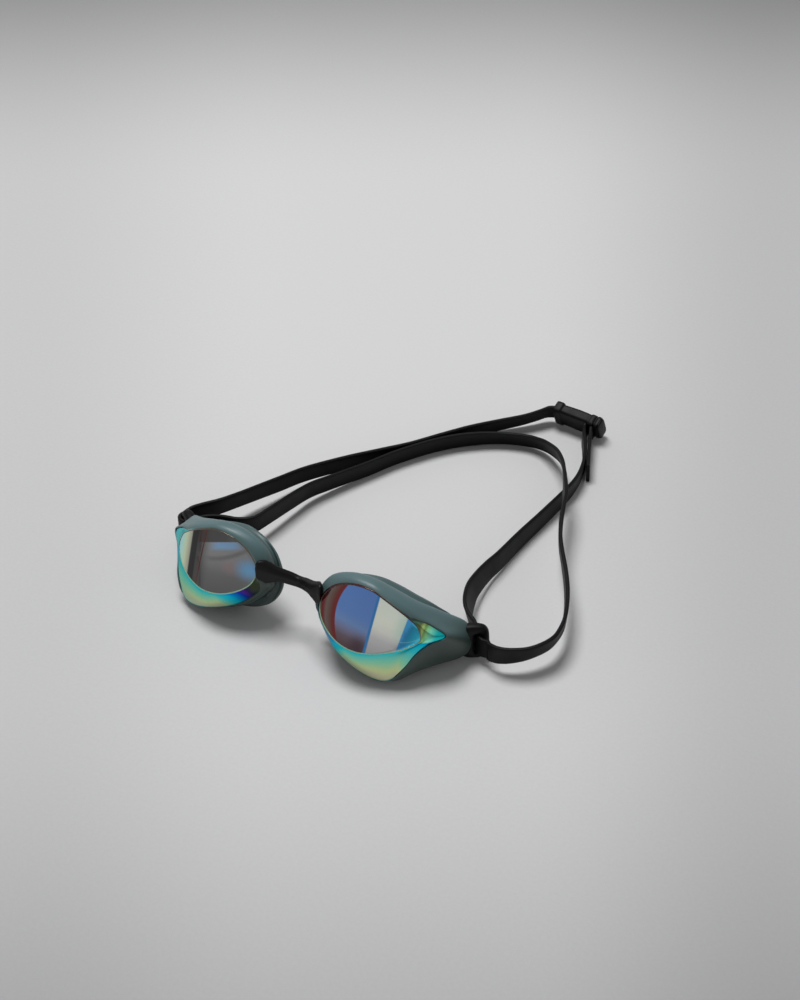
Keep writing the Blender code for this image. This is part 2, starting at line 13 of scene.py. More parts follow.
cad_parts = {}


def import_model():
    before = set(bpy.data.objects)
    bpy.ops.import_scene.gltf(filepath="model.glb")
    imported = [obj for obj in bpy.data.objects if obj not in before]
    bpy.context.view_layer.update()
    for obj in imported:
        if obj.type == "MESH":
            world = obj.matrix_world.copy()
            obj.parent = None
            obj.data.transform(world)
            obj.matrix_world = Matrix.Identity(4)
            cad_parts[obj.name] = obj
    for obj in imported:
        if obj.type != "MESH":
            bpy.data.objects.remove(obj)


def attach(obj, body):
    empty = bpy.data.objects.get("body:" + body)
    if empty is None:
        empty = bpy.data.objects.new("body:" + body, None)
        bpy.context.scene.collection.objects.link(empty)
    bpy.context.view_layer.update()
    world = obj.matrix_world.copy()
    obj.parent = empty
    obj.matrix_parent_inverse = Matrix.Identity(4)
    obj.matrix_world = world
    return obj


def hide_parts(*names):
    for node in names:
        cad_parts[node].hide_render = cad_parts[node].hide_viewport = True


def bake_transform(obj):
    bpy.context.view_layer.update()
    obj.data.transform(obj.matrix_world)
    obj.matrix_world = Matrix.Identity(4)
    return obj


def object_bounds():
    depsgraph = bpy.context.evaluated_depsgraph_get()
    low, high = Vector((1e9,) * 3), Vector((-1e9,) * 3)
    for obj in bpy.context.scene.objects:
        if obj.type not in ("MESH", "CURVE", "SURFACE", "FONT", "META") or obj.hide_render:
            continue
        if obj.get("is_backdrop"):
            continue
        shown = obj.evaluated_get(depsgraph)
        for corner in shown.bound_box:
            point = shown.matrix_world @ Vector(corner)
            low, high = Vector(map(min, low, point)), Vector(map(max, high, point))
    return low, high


MM = 0.001
SIDES = {"left": -1, "right": 1}

# Eyecups, as in the CAD source
CUP_CENTRE = (31.0, -9.6, 19.8)
CUP_WRAP = math.radians(18.0)
CUP_PITCH = math.radians(27.0)
CUP_ROLL = math.radians(14.5)
CURVE_U = 0.0200
CURVE_V = 0.0016
LOOP_STEPS = 6
GAP = 0.15
LENS_WALL = 1.3
LENS_SKIRT = 2.2
LIP_WIDTH = 0.45  # of the frame round the lens
LIP_REACH = 0.28  # how far the window's polished edge stands out from it
GROOVE_DEPTH = 1.4
GROOVE_WIDTH = 1.2
FRAME_WALL = 1.5
SEAL_LIP = 3.0
SEAL_FLARE = 2.4
TABLE = 0.02  # lowest point that a piece may have

WINDOW = (
    (12.6, 0.6), (10.8, 3.6), (7.6, 5.4), (3.6, 6.9), (-0.8, 8.2), (-5.2, 9.0),
    (-10.8, 8.0), (-15.6, 5.0), (-18.3, 0.2), (-17.4, -4.4), (-13.6, -7.7), (-8.6, -9.4),
    (-3.4, -9.4), (1.2, -8.0), (5.0, -6.2), (8.0, -4.4), (10.4, -2.5), (12.0, -0.9),
)
LENS_EDGE = (
    (18.9, 3.1, -6.6), (14.4, 5.0, -4.6), (9.6, 6.2, -2.6), (5.0, 7.6, -1.3), (-0.2, 9.0, -0.8),
    (-5.4, 10.0, -1.3), (-11.6, 8.9, -3.3), (-16.8, 5.6, -6.3), (-19.5, 0.0, -8.3),
    (-18.6, -5.4, -8.9), (-15.0, -9.6, -8.4), (-10.2, -13.0, -6.6), (-4.0, -15.2, -4.9),
    (2.4, -16.3, -4.3), (8.0, -15.2, -4.2), (11.2, -9.6, -3.6), (12.8, -4.6, -4.0),
    (15.4, -0.4, -5.2),
)
SHOULDER = (
    (26.4, 1.0, -18.4), (22.8, 6.4, -16.6), (15.2, 8.4, -10.4), (8.0, 9.6, -6.6), (0.6, 10.9, -4.8),
    (-5.6, 11.6, -4.9), (-12.4, 10.4, -6.6), (-18.2, 6.6, -9.0), (-20.4, 0.3, -11.2),
    (-19.2, -5.9, -11.8), (-15.7, -10.4, -11.2), (-11.4, -14.3, -9.6), (-4.6, -16.8, -7.8),
    (2.4, -17.9, -7.0), (9.0, -16.3, -7.4), (14.0, -11.4, -9.5), (19.6, -7.6, -14.2),
    (24.8, -4.0, -18.0),
)
GROOVE = (
    (24.4, 0.6, -20.0), (20.8, 5.8, -18.0), (13.6, 8.0, -12.4), (7.2, 9.0, -9.0), (0.4, 10.2, -8.0),
    (-5.8, 10.6, -8.2), (-12.2, 9.2, -9.8), (-17.4, 5.4, -12.0), (-20.0, -0.6, -13.6),
    (-19.2, -6.6, -14.2), (-15.8, -11.0, -13.8), (-10.8, -14.0, -12.6), (-4.4, -16.0, -11.2),
    (2.2, -17.0, -10.4), (8.4, -15.4, -10.4), (13.2, -10.8, -12.4), (18.2, -7.4, -16.4),
    (23.0, -3.8, -19.6),
)
SEAL_RIM = (
    (19.6, 0.0, -23.6), (17.0, 5.0, -21.8), (12.0, 7.6, -18.0), (6.2, 8.8, -16.4),
    (0.0, 9.8, -15.6), (-5.8, 9.9, -15.4), (-12.4, 8.0, -15.6), (-17.6, 4.2, -16.2),
    (-20.4, -1.6, -17.2), (-19.8, -6.6, -18.0), (-16.4, -10.8, -18.4), (-11.6, -13.2, -18.4),
    (-5.4, -14.0, -18.0), (0.6, -13.8, -17.8), (6.6, -12.2, -17.8), (12.0, -9.4, -18.8),
    (16.6, -6.6, -21.6), (19.4, -3.4, -23.4),
)

# Nose bridge: x, y, z, depth along Y, height
BRIDGE_SECTIONS = (
    (0.0, -2.0, 17.4, 2.4, 3.6), (2.6, -2.7, 18.1, 2.7, 4.0), (4.8, -3.9, 19.1, 3.0, 4.2),
    (6.8, -4.9, 19.6, 3.3, 5.4), (8.4, -5.5, 19.9, 3.6, 7.0),
)
BRIDGE_FOOT = (  # the block that laps over the lens's border beside the window
    (9.3, -6.05, 20.0, 3.4, 8.4), (10.2, -6.7, 20.2, 3.0, 8.6), (10.9, -7.15, 20.3, 2.6, 8.3),
    (11.2, -7.35, 20.3, 2.1, 7.7), (11.3, -7.35, 20.3, 1.5, 6.9),
)

# Side clips
CLIP_BAR = (53.5, 13.8, 6.4)
CLIP_TURN = math.atan2(0.51, 0.86)
CLIP_HEIGHT = 11.4
CLIP_REACH = 8.4
CLIP_SLOT = (1.6, 7.5)
CLIP_BAR_END = 1.4
PLATE_HEIGHT = 12.4  # of the clip where it takes hold of the temple
PLATE_DEPTH = 1.9
SLOT_CENTRE = 2.2

# Strap: x, y, z and the lean of the band's top edge to the left of the way it runs, in degrees
BAND_WIDTH = 6.8
BAND_THICKNESS = 1.2
BAND_EDGE = 0.4
CORNER_STEP = 30  # degrees between a corner's points
FACE_SHARES = (0.2, 0.4, 0.6, 0.8)  # points across each wide face
BAND_STEP = 1.2
CORD_STEP = 3  # rows of a band for each point of its cord's path
UPPER_LEFT = (
    (-55.35, 15.7, 6.4, 0), (-54.6, 18.2, 6.8, -3), (-52.4, 20.7, 7.5, -7), (-48.4, 25.0, 8.2, -10),
    (-45.4, 31.6, 7.8, -12), (-42.8, 39.0, 7.0, -11), (-40.1, 46.5, 6.2, -10),
    (-37.4, 54.4, 5.4, -11), (-34.0, 61.2, 4.8, -12), (-28.1, 70.5, 4.2, -12),
    (-21.7, 79.1, 3.8, -12), (-15.0, 87.7, 3.6, -12), (-8.7, 97.3, 3.6, -13),
    (-2.3, 106.9, 3.6, -17), (4.7, 115.6, 3.7, -23), (10.6, 121.8, 4.2, -27),
    (14.4, 126.4, 4.8, -26), (16.6, 129.3, 5.2, -25),
)
LOWER = (
    (-50.1, 15.1, 6.4, 0), (-47.6, 17.4, 6.7, 0), (-43.6, 19.1, 7.0, 0), (-38.4, 20.7, 7.1, -2),
    (-34.6, 23.8, 7.2, -5), (-33.1, 30.8, 6.9, -6), (-31.9, 40.2, 6.2, -6), (-30.4, 49.6, 5.3, -9),
    (-27.5, 57.4, 4.5, -11), (-24.3, 64.7, 4.0, -11), (-20.9, 71.9, 3.7, -11),
    (-17.6, 79.4, 3.6, -12), (-13.8, 86.2, 3.6, -13), (-9.7, 92.6, 3.6, -14),
    (-5.1, 98.4, 3.6, -15), (0.0, 103.3, 3.6, -17), (5.5, 107.5, 3.5, -21),
    (11.4, 110.6, 3.5, -24), (18.0, 112.3, 3.8, -23), (23.0, 111.7, 4.5, -25),
    (27.4, 109.2, 5.9, -24), (33.0, 104.3, 8.0, -20), (38.1, 97.0, 10.1, -12),
    (41.8, 90.0, 11.2, -4), (44.5, 84.6, 11.4, 4), (46.8, 79.7, 11.3, 8), (49.1, 73.4, 11.2, 6),
    (52.1, 66.3, 10.9, 0), (54.8, 60.8, 10.5, -4), (58.8, 54.4, 10.1, -5), (63.5, 46.9, 9.7, -1),
    (67.6, 39.2, 9.3, 2), (70.7, 31.4, 8.9, 5), (71.7, 25.8, 8.6, 11), (71.2, 20.4, 8.2, 18),
    (67.8, 14.7, 7.7, 19), (63.3, 11.3, 7.2, 12), (59.6, 10.1, 6.8, 6), (56.7, 10.5, 6.4, 0),
)
UPPER_RIGHT = (
    (50.7, 14.7, 6.4, 0), (48.0, 17.5, 6.5, 4), (45.2, 19.8, 6.8, 12), (43.0, 22.8, 7.0, 19),
    (41.1, 27.1, 6.9, 23), (39.6, 32.0, 6.4, 22), (38.9, 37.7, 5.7, 18), (38.7, 44.0, 5.0, 13),
    (39.1, 50.8, 4.4, 9), (39.5, 63.3, 3.7, 5), (40.6, 76.1, 3.5, 1), (41.7, 88.2, 3.6, -2),
    (42.0, 94.7, 3.6, -5), (41.7, 100.4, 3.6, -6), (40.5, 106.7, 3.6, -4), (38.2, 113.5, 3.6, 0),
    (35.0, 120.0, 3.8, 0), (33.0, 123.6, 3.9, 0),
)
TAIL = (
    (37.2, 119.2, 3.9, 0), (39.5, 113.7, 3.6, 0), (41.7, 109.0, 3.6, -2), (43.0, 106.0, 3.6, -3),
)
# Where each run is cut in two, as a share of its length
SHARES = {"upper_left": 0.62, "lower": 0.4, "upper_right": 0.55, "rear": 0.8, "tail": 0.7}

# Rear buckle
BUCKLE_CENTRE = (28.3, 130.0, 5.3)
BUCKLE_TURN = math.radians(-4.0)
BUCKLE_LEAN = math.radians(25.0)
BUCKLE_ENTRY = ((-8.8, 0.0), (-6.8, 0.0), (-3.0, 0.0))  # plan of the band's left end
FOLD_CENTRE = (4.9, -0.9)
FOLD_RADIUS = 1.15
FOLD_REACH = 2.4

# Light
FLOOR_COLOUR = (0.765, 0.765, 0.77, 1.0)
HORIZON = 0.47  # world strength low in the room, and overhead
OVERHEAD = 0.16
SKY_RANGE = (0.15, 0.75)  # of the direction's height, between those two
KEY_POWER = 11.0
KEY_SIZE = 0.60
KEY_PLACE = (-0.31, 0.17, 1.25)
KEY_TARGET = (0.0, 0.05, 0.0)
# The floor's painted pool of light: its directions, width and fades
FLOOR_AWAY = (-0.509, 0.861)  # directions on the floor, as the camera sees them
FLOOR_RIGHT = (0.861, 0.509)
POOL_MIDDLE = 0.029  # of the pool of light, to the right
POOL_WIDTH, POOL_GROWTH, POOL_LEAST = 0.114, 0.178, 0.09
AWAY_FADES = ((0.27, 0.60, 0.41), (-0.02, -0.26, 0.47))  # from, to, share of light left
ASIDE_FADES = ((-0.3, -1.0, 0.87), (0.3, 1.0, 0.79))
FLOOR_GRAIN = (900.0, 2.0)
FLOOR_GRAIN_SHADE = (0.985, 1.015)
FLOOR_SIZE = 3.0

# Camera
CAMERA_AZIMUTH = math.radians(30.57)
CAMERA_ELEVATION = math.radians(37.98)
CAMERA_DISTANCE = 0.55225
CAMERA_TARGET = (-0.00585, 0.06586, 0.0)
CAMERA_LENS = 60.36
CAMERA_NEAR = 0.01
SENSOR = 36.0


# Curves

def spline_point(a, b, c, d, t):
    """Point at t on the Catmull-Rom span from b to c."""
    return 0.5 * (2 * b + (c - a) * t + (2 * a - 5 * b + 4 * c - d) * t**2
                  + (3 * b - a - 3 * c + d) * t**3)


def closed_loop(stations, steps=LOOP_STEPS):
    points = [Vector(station) for station in stations]
    count = len(points)
    return [spline_point(points[i - 1], points[i], points[(i + 1) % count],
                         points[(i + 2) % count], step / steps)
            for i in range(count) for step in range(steps)]


def moved(loop, outward=0.0, depth=0.0):
    """The loop, widened along its own normals in the u, v plane and shifted along n."""
    result = []
    for i, point in enumerate(loop):
        along = loop[(i + 1) % len(loop)] - loop[i - 1]
        normal = Vector((along.y, -along.x, 0.0)).normalized()
        result.append(point + normal * outward + Vector((0.0, 0.0, depth)))
    return result


def between(first, second, share, outward=0.0, depth=0.0):
    return moved([a.lerp(b, share) for a, b in zip(first, second)], outward, depth)


def on_face(loop, share, depth=0.0):
    """The loop drawn in towards its middle and laid on the lens's curved face."""
    middle = sum((Vector((p.x, p.y, 0.0)) for p in loop), Vector()) / len(loop)
    result = []
    for point in loop:
        u = middle.x + (point.x - middle.x) * share
        v = middle.y + (point.y - middle.y) * share
        result.append(Vector((u, v, -CURVE_U * u * u - CURVE_V * v * v + depth)))
    return result


def rings_through(keys, steps):
    """Rings on smooth lines through the key rings, which keep their own places."""
    rings = []
    for i in range(len(keys) - 1):
        before = keys[max(i - 1, 0)]
        after = keys[min(i + 2, len(keys) - 1)]
        for step in range(steps):
            rings.append([spline_point(*four, step / steps)
                          for four in zip(before, keys[i], keys[i + 1], after)])
    rings.append(keys[-1])
    return rings


# Meshes

def add_piece(name, mesh, materials, sharp=38.0):
    piece = bpy.data.objects.new(name, mesh)
    bpy.context.scene.collection.objects.link(piece)
    for material in materials:
        mesh.materials.append(material)
    mesh.shade_smooth()
    mesh.set_sharp_from_angle(angle=math.radians(sharp))
    return piece


def skin(name, rings, place, closed, local=None, slots=None):
    """Mesh through the rings. place turns a ring's point into metres in the row frame.

    UV map "band" holds how far a corner is along its ring and which ring it is on, both from 0
    to 1, UV map "face" the first two of local's numbers for the point, and attribute "rest" all
    three. slots gives the material slot of each strip between two rings.
    """
    work = bmesh.new()
    band = work.loops.layers.uv.new("band")
    face_map = work.loops.layers.uv.new("face")
    rest = work.verts.layers.float_vector.new("rest")
    local = local or (lambda point: point)
    slots = slots or [0] * len(rings)
    rows = []
    for ring in rings:
        row = []
        for point in ring:
            vert = work.verts.new(place(point))
            vert[rest] = local(point)
            row.append(vert)
        rows.append(row)
    count = len(rows[0])
    last = len(rows) - 1

    def fill(corners, uvs, slot):
        face = work.faces.new(corners)
        face.material_index = slot
        for loop, uv in zip(face.loops, uvs):
            loop[band].uv = uv
            loop[face_map].uv = loop.vert[rest].xy

    for a in range(len(rows) if closed else last):
        b = (a + 1) % len(rows)
        for i in range(count):
            j = (i + 1) % count
            s, t = i / count, (i + 1) / count
            fill((rows[a][i], rows[a][j], rows[b][j], rows[b][i]),
                 ((s, a / last), (t, a / last), (t, (a + 1) / last), (s, (a + 1) / last)),
                 slots[a])
    if not closed:
        for row, value, slot in ((rows[0], 0.0, slots[0]), (rows[-1], 1.0, slots[-1])):
            pole = work.verts.new(sum((vert.co for vert in row), Vector()) / count)
            pole[rest] = sum((vert[rest] for vert in row), Vector()) / count
            for i in range(count):
                fill((row[i], row[(i + 1) % count], pole),
                     ((i / count, value), ((i + 1) / count, value), ((i + 0.5) / count, value)),
                     slot)
    bmesh.ops.recalc_face_normals(work, faces=work.faces[:])
    mesh = bpy.data.meshes.new(name)
    work.to_mesh(mesh)
    work.free()
    return mesh


def cup_place(side):
    """From a cup's u, v, n to the row frame, kept above the table."""
    x, y, z = CUP_CENTRE
    matrix = (Matrix.Translation(Vector((side * x, y, z)) * MM)
              @ Matrix.Rotation(side * CUP_WRAP, 4, "Z")
              @ Matrix.Rotation(-CUP_PITCH, 4, "X")
              @ Matrix.Rotation(side * CUP_ROLL, 4, "Y"))

    def place(point):
        where = matrix @ (Vector((side * point.x, -point.z, point.y)) * MM)
        where.z = max(where.z, TABLE * MM)
        return where

    return place


# Materials

def srgb(red, green, blue, gain=1.0):
    """Linear colour of an 8-bit screen colour, times gain."""
    def linear(value):
        value = value / 255
        return value / 12.92 if value <= 0.04045 else ((value + 0.055) / 1.055) ** 2.4
    return (*(min(1.0, linear(value) * gain) for value in (red, green, blue)), 1.0)


class Graph:
    """A node material put together from short calls, each of which gives its output socket.

    A colour is a socket, four linear numbers, or three numbers of a screen colour from 0 to 255,
    which become linear with the graph's gain.
    """

    def __init__(self, name, gain=1.0, **sockets):
        self.material = bpy.data.materials.new(name)
        self.material.use_nodes = True
        self.tree = self.material.node_tree
        self.shader = self.tree.nodes["Principled BSDF"]
        self.gain = gain
        self.set(**sockets)

    def feed(self, socket, value):
        if isinstance(value, bpy.types.NodeSocket):
            self.tree.links.new(value, socket)
        else:
            socket.default_value = value

    def node(self, kind, inputs, **settings):
        node = self.tree.nodes.new("ShaderNode" + kind)
        for key, value in settings.items():
            setattr(node, key, value)
        for key, value in inputs:
            self.feed(node.inputs[key], value)
        return node

    def math(self, operation, *values):
        return self.node("Math", enumerate(values), operation=operation).outputs[0]

    def add(self, first, second):
        return self.math("ADD", first, second)

    def less(self, first, second):
        return self.math("SUBTRACT", first, second)

    def times(self, first, second):
        return self.math("MULTIPLY", first, second)

    def square(self, value):
        return self.math("POWER", value, 2.0)

    def rest(self):
        return self.node("Attribute", (), attribute_name="rest").outputs["Vector"]

    def parts(self, vector):
        return self.node("SeparateXYZ", ((0, vector),)).outputs

    def uv(self, name):
        return self.parts(self.node("UVMap", (), uv_map=name).outputs[0])[:2]

    def slope(self, value, low, high, first=0.0, second=1.0, kind="LINEAR"):
        inputs = enumerate((value, low, high, first, second))
        return self.node("MapRange", inputs, interpolation_type=kind).outputs[0]

    def rise(self, value, low, high):
        """0 below low and 1 above high, smooth between."""
        return self.slope(value, low, high, kind="SMOOTHSTEP")

    def strip(self, value, low, high, soft):
        """1 between low and high, 0 outside."""
        inside = self.rise(value, low - soft, low + soft)
        outside = self.rise(value, high - soft, high + soft)
        return self.less(inside, outside)

    def spot(self, u, v, centre, radii, power):
        """power in the middle of an ellipse, falling to 0 at its edge."""
        a = self.math("DIVIDE", self.less(u, centre[0]), radii[0])
        b = self.math("DIVIDE", self.less(v, centre[1]), radii[1])
        far = self.math("SQRT", self.add(self.times(a, a), self.times(b, b)))
        return self.times(self.rise(self.less(1.0, far), 0.0, 1.0), power)

    def paint(self, colour):
        if isinstance(colour, tuple) and len(colour) == 3:
            return srgb(*colour, self.gain)
        return colour

    def mix(self, share, first, second, blend="MIX"):
        inputs = ((0, share), (6, self.paint(first)), (7, self.paint(second)))
        return self.node("Mix", inputs, data_type="RGBA", blend_type=blend).outputs[2]

    def layers(self, colour, layers):
        """Finished material, with each (share, colour) of the layers laid over the ones before."""
        for share, paint in layers:
            colour = self.mix(share, colour, paint)
        return self.set(Base_Color=colour)

    def ramp(self, value, stops):
        """Colours along a line; each stop is a value and the screen colour there."""
        low, high = stops[0][0], stops[-1][0]
        node = self.node("ValToRGB", ((0, self.slope(value, low, high)),))
        elements = node.color_ramp.elements
        while len(elements) < len(stops):
            elements.new(0.5)
        for element, (at, *colour) in zip(elements, stops):
            element.position = (at - low) / (high - low)
            element.color = self.paint(tuple(colour))
        return node.outputs[0]

    def noise(self, vector, scale, detail=3.0, roughness=0.55):
        inputs = (("Vector", vector), ("Scale", scale), ("Detail", detail),
                  ("Roughness", roughness))
        return self.node("TexNoise", inputs).outputs[0]

    def stretched(self, vector, scale):
        return self.node("Mapping", ((0, vector), (3, scale))).outputs[0]

    def bump(self, height, strength, distance):
        inputs = (("Height", height), ("Strength", strength), ("Distance", distance))
        return self.node("Bump", inputs).outputs[0]

    def set(self, **sockets):
        for key, value in sockets.items():
            self.feed(self.shader.inputs[key.replace("_", " ")], value)
        return self.material


CLOUD = (0.16, 4.0)  # scale and detail of each noise field
GRAIN_SCALE, GRAIN_DETAIL, GRAIN_ROUGHNESS = 5.5, 5.0, 0.7
SPECKS = (2.3, 2.0)
SPECK_RANGE = (0.70, 0.78)
SPECK_COLOUR = (0.42, 0.42, 0.42, 1.0)
MIDDLE = (0.3, 0.7)  # where most of a noise field's values lie
CLOUD_GLOSS, GRAIN_GLOSS = 0.04, 0.05  # how much each field changes the roughness
CLOUD_HEIGHT = 0.4
RUBBER_BUMP = (0.12, 0.00012)  # strength and distance
# heights of the normal over which the painted highlight comes in
FACING_UP = (0.1, 1.0)


def rubber(name, colour, light, roughness, specular, grain=0.5, dust=0.0, painted_top_light=None):
    """Moulded silicone: faint clouding, fine matt grain, small variations of gloss and specks. A
    last colour, where given, is a painted highlight on faces that turn up.
    """
    graph = Graph(name, Specular_IOR_Level=specular)
    rest = graph.rest()
    cloud = graph.noise(rest, *CLOUD)
    fine = graph.noise(rest, GRAIN_SCALE * grain, GRAIN_DETAIL, GRAIN_ROUGHNESS)
    base = graph.mix(graph.rise(cloud, *MIDDLE), colour, light)
    # painted highlight: faces that turn up are lighter and bluer
    if painted_top_light:
        normal = graph.parts(graph.node("NewGeometry", ()).outputs["Normal"])
        base = graph.mix(graph.rise(normal[2], *FACING_UP), base, painted_top_light)
    if dust:
        specks = graph.rise(graph.noise(rest, *SPECKS), *SPECK_RANGE)
        base = graph.mix(graph.times(specks, dust), base, SPECK_COLOUR)
    gloss = graph.add(
        graph.slope(fine, *MIDDLE, -GRAIN_GLOSS, GRAIN_GLOSS),
        graph.slope(cloud, *MIDDLE, roughness - CLOUD_GLOSS, roughness + CLOUD_GLOSS))
    height = graph.add(fine, graph.times(cloud, CLOUD_HEIGHT))
    return graph.set(Base_Color=base, Roughness=gloss, Normal=graph.bump(height, *RUBBER_BUMP))


# Lens: what the coating shows, with the reflections it shows painted into its colour. Places are in
# u and v, and a strip is from, to and soft edge.

LIT = 1.7  # gain from a colour as seen to the border's own
SEEN = 2.1  # and to the window's
LENS_IOR = 1.5
WINDOW_LOOK = {"Metallic": 0.75, "Coat_Weight": 0.2}
BORDER_LOOK = {"Metallic": 0.94, "Coat_Weight": 0.04, "Specular_Tint": (0.35, 0.8, 0.85, 1.0)}
LIP_LOOK = {"Metallic": 0.35, "IOR": LENS_IOR, "Roughness": 0.18, "Coat_Weight": 0.2}
BODY_LOOK = {"Metallic": 0.3, "IOR": LENS_IOR, "Roughness": 0.2}
COAT_ROUGHNESS = 0.03
SMEAR_STRETCH = (0.5, 0.18, 0.4)
SMEAR_GLOSS = (0.35, 0.7, 0.07, 0.15)  # field from and to, roughness from and to
FINE_GLOSS = (0.4, 0.7, 0.0, 0.02)
SMEAR_BUMP = (0.05, 0.0003)
LINE_LEAN = 0.09  # of the windows' upright lines, u for each v


def coating(name, gain, look):
    """The coating's faint smears and fine changes of gloss, without its colour."""
    graph = Graph(name, gain, IOR=LENS_IOR, Coat_Roughness=COAT_ROUGHNESS, **look)
    rest = graph.rest()
    smear = graph.noise(graph.stretched(rest, SMEAR_STRETCH), 1.0)
    fine = graph.noise(rest, 7.0, 2.0)
    gloss = graph.add(graph.slope(smear, *SMEAR_GLOSS), graph.slope(fine, *FINE_GLOSS))
    graph.set(Roughness=gloss, Normal=graph.bump(smear, *SMEAR_BUMP))
    return graph


LEFT_GREY = ((-9.5, 76, 76, 76), (-4.0, 86, 86, 86), (1.0, 107, 107, 107), (9.0, 112, 112, 112))
LEFT_DARK = (-5.0, 1.0)
LEFT_TILT = 0.237  # of the line under the dark top, v for each u
LEFT_TOP = ((-16.0, 92, 94, 92), (-9.0, 66, 66, 66), (-4.0, 62, 60, 60), (0.0, 52, 44, 43))
LEFT_TOP_START = (4.0, 4.25)
LEFT_PINK_REFLECTION = ((-11.5, -0.8), (4.0, 3.4), 0.45)  # middle, radii, strength
LEFT_PATCH = ((1.9, 4.2, 0.7), (-13.2, -5.2, 2.2))
LEFT_BLUE_REFLECTION = ((-17.0, -0.4), (5.6, 4.6), 1.0)
LEFT_ARC_MIDDLE, LEFT_ARC_BEND = -3.0, 0.032
LEFT_ARC = (-0.4, 0.9, 0.6)
LEFT_ARC_ENDS = ((-18.0, -13.0), (0.0, -6.0))
LEFT_LINES = ((-1.45, -1.05, 0.12), (-0.35, -0.1, 0.12))
LEFT_BANDS = (
    (1.0, 30, 30, 30), (3.6, 14, 14, 14), (4.0, 24, 24, 22), (4.5, 122, 123, 111),
    (5.6, 136, 138, 119), (7.2, 149, 161, 131), (9.0, 135, 166, 150), (10.5, 118, 165, 162),
    (12.6, 92, 150, 158),
)
LEFT_BANDS_START = (0.9, 1.5)


def window_left():
    """Mirror whose colours are a painted reflection: smoky grey, with upright bands at its outer
    end and two blue patches.
    """
    graph = coating("lens_window_left", SEEN, WINDOW_LOOK)
    u, v = graph.uv("face")
    level = graph.add(v, graph.times(u, LEFT_TILT))
    upright = graph.add(u, graph.times(v, LINE_LEAN))
    bend = graph.times(LEFT_ARC_BEND, graph.square(graph.less(LEFT_ARC_MIDDLE, u)))
    patch = graph.times(graph.strip(level, *LEFT_PATCH[0]), graph.strip(u, *LEFT_PATCH[1]))
    arc_line = graph.times(graph.strip(graph.less(v, bend), *LEFT_ARC),
                           graph.rise(u, *LEFT_ARC_ENDS[0]))
    arc_line = graph.times(arc_line, graph.rise(u, *LEFT_ARC_ENDS[1]))
    return graph.layers(graph.ramp(v, LEFT_GREY), (
        (graph.rise(u, *LEFT_DARK), (52, 52, 52)),
        (graph.spot(u, v, *LEFT_PINK_REFLECTION), (122, 98, 100)),
        (patch, (102, 130, 158)),
        (arc_line, (90, 90, 90)),
        (graph.spot(u, v, *LEFT_BLUE_REFLECTION), (88, 130, 164)),
        (graph.rise(level, *LEFT_TOP_START), graph.ramp(u, LEFT_TOP)),
        (graph.strip(upright, *LEFT_LINES[0]), (70, 34, 28)),
        (graph.strip(upright, *LEFT_LINES[1]), (66, 48, 44)),
        (graph.rise(u, *LEFT_BANDS_START), graph.ramp(u, LEFT_BANDS))))


RIGHT_BLUE = (
    (-9.0, 72, 56, 58), (-6.6, 80, 70, 76), (-4.6, 92, 94, 118), (-2.4, 86, 110, 148),
    (0.5, 74, 103, 152), (8.0, 72, 102, 154),
)
RIGHT_DARK_REFLECTION = ((-3.2, -8.0), (4.6, 5.4), 0.8)  # middle, radii, strength
CRESCENT_MIDDLE, CRESCENT_BEND = 1.5, 0.034
CRESCENT = (
    (-17.6, 84, 30, 32), (-16.6, 84, 72, 68), (-15.4, 78, 58, 53), (-14.3, 82, 36, 33),
    (-13.4, 92, 26, 28),
)
CRESCENT_END = (-13.1, -13.4)
RIGHT_PALE = (
    (-8.0, 134, 133, 134), (-3.4, 152, 152, 153), (-0.8, 174, 175, 168), (2.0, 180, 187, 172),
    (8.0, 178, 188, 176),
)
PALE_START = (-1.45, -1.0)
PALE_TINT = ((3.5, 7.5), (-4.0, 1.0), 0.7)  # from and to in u, in v, and its share
RIGHT_LINE = (-2.0, -1.2, 0.2)
RIGHT_OUTER = (
    (7.3, 54, 122, 168), (8.8, 48, 126, 168), (10.2, 42, 142, 172), (12.6, 42, 158, 180),
)
OUTER_START = (7.2, 7.6)
SWEEP_MIDDLE, SWEEP_BEND = 7.0, 0.09
SWEEP = ((-2.1, -1.8, 0.12), (7.3, 7.8), 0.5)  # strip, where it starts in u, its share


def window_right():
    """Mirror whose colours are a painted reflection: blue, with a red crescent at the nose and a
    slanted pale band.
    """
    graph = coating("lens_window_right", SEEN, WINDOW_LOOK)
    u, v = graph.uv("face")
    curve = graph.less(u, graph.times(CRESCENT_BEND, graph.square(
        graph.less(v, CRESCENT_MIDDLE))))
    slant = graph.add(u, graph.times(v, LINE_LEAN))
    tint = graph.times(graph.rise(u, *PALE_TINT[0]), graph.rise(v, *PALE_TINT[1]))
    pale = graph.mix(graph.times(tint, PALE_TINT[2]), graph.ramp(v, RIGHT_PALE), (146, 172, 160))
    sweep = graph.less(v, graph.times(SWEEP_BEND, graph.square(graph.less(u, SWEEP_MIDDLE))))
    line = graph.times(graph.strip(sweep, *SWEEP[0]), graph.rise(u, *SWEEP[1]))
    return graph.layers(graph.ramp(v, RIGHT_BLUE), (
        (graph.spot(u, v, *RIGHT_DARK_REFLECTION), (52, 40, 48)),
        (graph.rise(curve, *CRESCENT_END), graph.ramp(curve, CRESCENT)),
        (graph.strip(slant, *RIGHT_LINE), (38, 98, 148)),
        (graph.rise(slant, *PALE_START), pale),
        (graph.rise(u, *OUTER_START), graph.ramp(u, RIGHT_OUTER)),
        (graph.times(line, SWEEP[2]), (120, 178, 188))))


